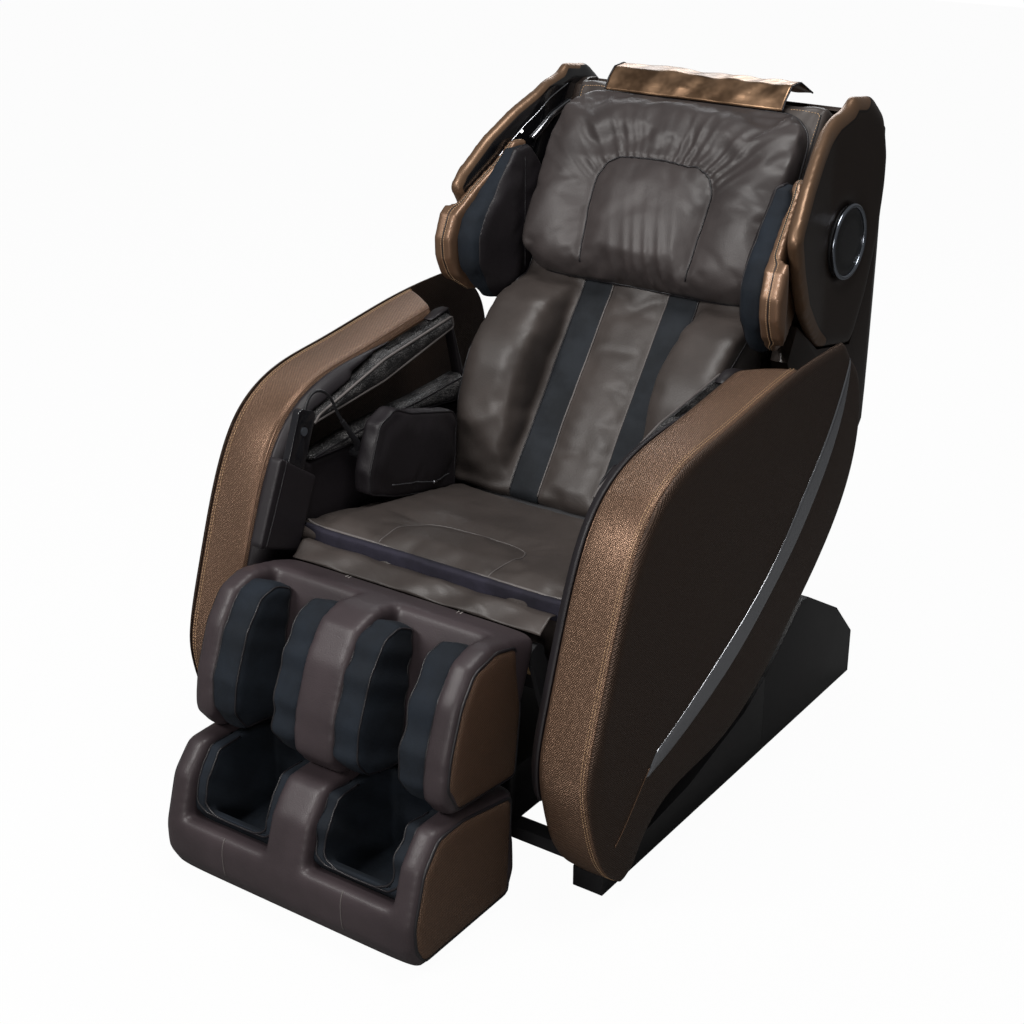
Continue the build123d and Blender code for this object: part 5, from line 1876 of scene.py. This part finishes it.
# ---- Calf rest ----------------------------------------------------------------------------------
# Padded block with a well for each calf. Purple-grey leather covers the outer walls and the divider,
# piped along the outer edges, and bronze embossed panels close its sides.
plum_leather = leather("plum_leather", (0.036, 0.027, 0.030), 0.36)
LEG_FACE = 0.2345
calf_loop = soft_corners(caps("calf_shell", -LEG_FACE)[0], 0.006, 0.008)
calf_rings = [sideways(*calf_loop.T, np.full(len(calf_loop), x)) for x in (-LEG_FACE, LEG_FACE)]
calf = remeshed("calf_block", merged("calf_shell"), 0.0048, 8)
calf = puffed(calf, calf_rings, 0.006, reach=0.018, pressure=0)
belongs(paint(calf, plum_leather), "calf", "grey_leather", "calf_shell")


def side_cover(name, node, body, finish):
    """A glued-on side panel with a soft rim, and the piping round it."""
    line = soft_corners(caps(node, 0.2385)[0], 0.007, 0.010)
    cover = slab(
        f"{name}_panel_left",
        line,
        0.009,
        sideways,
        lambda depth, flat: 0.2385 - drop(depth, 0.014, 0.0055) + 0.003 * (1 - np.exp(-depth / 0.05)),
        lambda depth, flat: 0.2290 + 0 * depth,
        rows=(0.001, 0.003, 0.007, 0.012),
    )
    belongs(paint(cover, finish), body, "bronze_leather", f"{name}_side_panels")
    belongs(mirrored(cover, f"{name}_panel_right"), body, "bronze_leather")
    bead = piping(
        f"{name}_panel_piping_left",
        sideways(*line.T, np.full(len(line), 0.2345)),
        0.0026,
        closed=True,
        out=(1, 0, 0),
    )
    return both(paint(bead, piping_black), body, "grey_leather")


# its second colour is the painted highlight colour of the dots and rims
leg_bronze = embossed("leg_bronze", (0.095, 0.056, 0.038), (0.30, 0.185, 0.12), 0.38, pitch=0.0026)
side_cover("calf", "calf_side_panels", "calf", leg_bronze)
tab_lines = [
    np.array(
        [(x - 0.004 + shift, -0.372, 0.4300), (x + 0.002 + shift, -0.389, 0.4285)]
    ) for x in (-0.105, 0.105) for shift in (0.0, 0.006)
]
tab_lines = [on_surface(lined_up(line, 0.002), calf, 0.0006)[0] for line in tab_lines]
belongs(
    stitched("calf_tab_stitches", tab_lines, thread("pale_thread", (0.45, 0.42, 0.40)), 0.004, 0.003, 0.0006),
    "calf",
    "grey_leather",
)


# ---- Calf air bags --------------------------------------------------------------------------------
# Four air bags in navy knit line the calf wells, one on each wall. Each is sewn round with a
# piped seam and wrinkles where it is squeezed against the wall.
def loose_parts(node):
    """A node's separate solids, each as a bmesh."""
    whole = merged(node)
    left = set(whole.verts)
    found = []
    while left:
        group, edge = set(), [next(iter(left))]
        while edge:
            vert = edge.pop()
            if vert in left:
                left.discard(vert)
                group.add(vert)
                edge += [e.other_vert(vert) for e in vert.link_edges]
        part = whole.copy()
        part.verts.ensure_lookup_table()
        whole.verts.index_update()
        keep = {v.index for v in group}
        bmesh.ops.delete(part, geom=[v for v in part.verts if v.index not in keep], context="VERTS")
        found.append(part)
    whole.free()
    return sorted(found, key=lambda part: min(v.co.x for v in part.verts))


def liner(name, form, number, body, replaced, rise=0.006, amplitude=0.0016):
    """A quilted bag: its seams piped, its faces blown out and creased."""
    low, high = (pick(v.co.x for v in form.verts) for pick in (min, max))
    flat = {f for f in form.faces if all(abs(v.co.x - low) < 2e-5 for v in f.verts)}
    loop = chained([e for e in form.edges if sum(f in flat for f in e.link_faces) == 1])[0]
    loop = soft_corners(loop, 0.005, 0.008)
    rings = [sideways(*loop.T, np.full(len(loop), x)) for x in (low, high)]
    bag = remeshed(name, form, 0.0038, 3)
    bag = puffed(bag, rings, rise, reach=0.012, pressure=0)
    places, normals = points_of(bag)
    folds = waves(places[:, 2] + 0.5 * places[:, 1], 60 + number, 40, 150) * amplitude
    bag = moved(bag, places + normals * folds[:, None])
    belongs(paint(bag, navy), body, "navy_fabric", *replaced)
    for side_number, ring in enumerate(rings):
        spots, ways = on_surface(ring, bag, 0.0004)
        bead = piping(f"{name}_piping_{side_number}", spots, 0.0015, True, out=ways)
        belongs(paint(bead, piping_black), body, "navy_fabric")
    return bag


for number, form in enumerate(loose_parts("calf_airbags")):
    liner(f"calf_bag_{number}", form, number, "calf", ["calf_airbags"] if number == 0 else [])


# ---- Foot rest ------------------------------------------------------------------------------------
# The extending foot block in the same plum leather: two wells with rounded toe openings, a seam
# down the front under each, and bronze side panels with piping round them.
foot = remeshed("foot_block", merged("foot_shell"), 0.0048, 12)
foot_loop = soft_corners(caps("foot_shell", -LEG_FACE)[0], 0.006, 0.008)
foot_rings = [sideways(*foot_loop.T, np.full(len(foot_loop), x)) for x in (-LEG_FACE, LEG_FACE)]
foot = puffed(foot, foot_rings, 0.006, reach=0.02, pressure=0)
belongs(paint(foot, plum_leather), "foot", "grey_leather", "foot_shell")
side_cover("foot", "foot_side_panels", "foot", leg_bronze)
# the front seams are piped in pale grey, painted lighter as the highlight along them
for number, x in enumerate((-0.113, 0.113)):
    front_seam = lined_up([(x, -0.700, 0.140), (x, -0.700, 0.030)])
    spots, ways = on_surface(front_seam, foot, 0.0003)
    belongs(
        paint(piping(f"foot_front_seam_{number}", spots, 0.0008, out=ways), piping_grey),
        "foot",
        "grey_leather",
    )


# ---- Foot well liners -------------------------------------------------------------------------------
# Each foot well is lined in the navy knit over thin air cells: a sole, two side walls that fold
# softly towards the heel, and a piped rim around the toe opening.
KNEE = (-0.3635, 0.375)
for number, side_name in enumerate(("left", "right")):
    node = f"foot_liner_{side_name}"
    lining = remeshed(f"foot_lining_{side_name}", merged(node), 0.0036, 3)
    places, normals = points_of(lining)
    folds = waves(places[:, 2] + 0.8 * places[:, 1], 80 + number, 40, 130) * 0.0016
    lining = moved(lining, places + normals * folds[:, None])
    belongs(paint(lining, navy), "foot", "navy_fabric", node)
    side = 1 if side_name == "left" else -1
    for ring, (near, far, obj, radius) in enumerate(
        ((0.0565, 0.1755, lining, 0.0017), (0.0370, 0.1950, lining, 0.0015))
    ):
        toe = (
            (near, -0.200, -0.174),
            (near, -0.246, -0.175),
            (near, -0.276, -0.215),
            (near + 0.004, -0.287, -0.250),
        )
        mouth = [*toe, (near + 0.022, -0.290, -0.264), ((near + far) / 2, -0.290, -0.266)]
        mouth += [(near + far - x, y, z) for x, y, z in reversed(mouth[:-1])]
        rim_points = even(
            np.array([(side * x, KNEE[0] + y, KNEE[1] + z) for x, y, z in mouth]), 0.005, closed=False
        )
        spots, ways = on_surface(rim_points, obj, 0.0006)
        bead = piping(f"foot_lining_piping_{side_name}_{ring}", spots, radius, out=ways)
        belongs(paint(bead, piping_black), "foot", "navy_fabric")
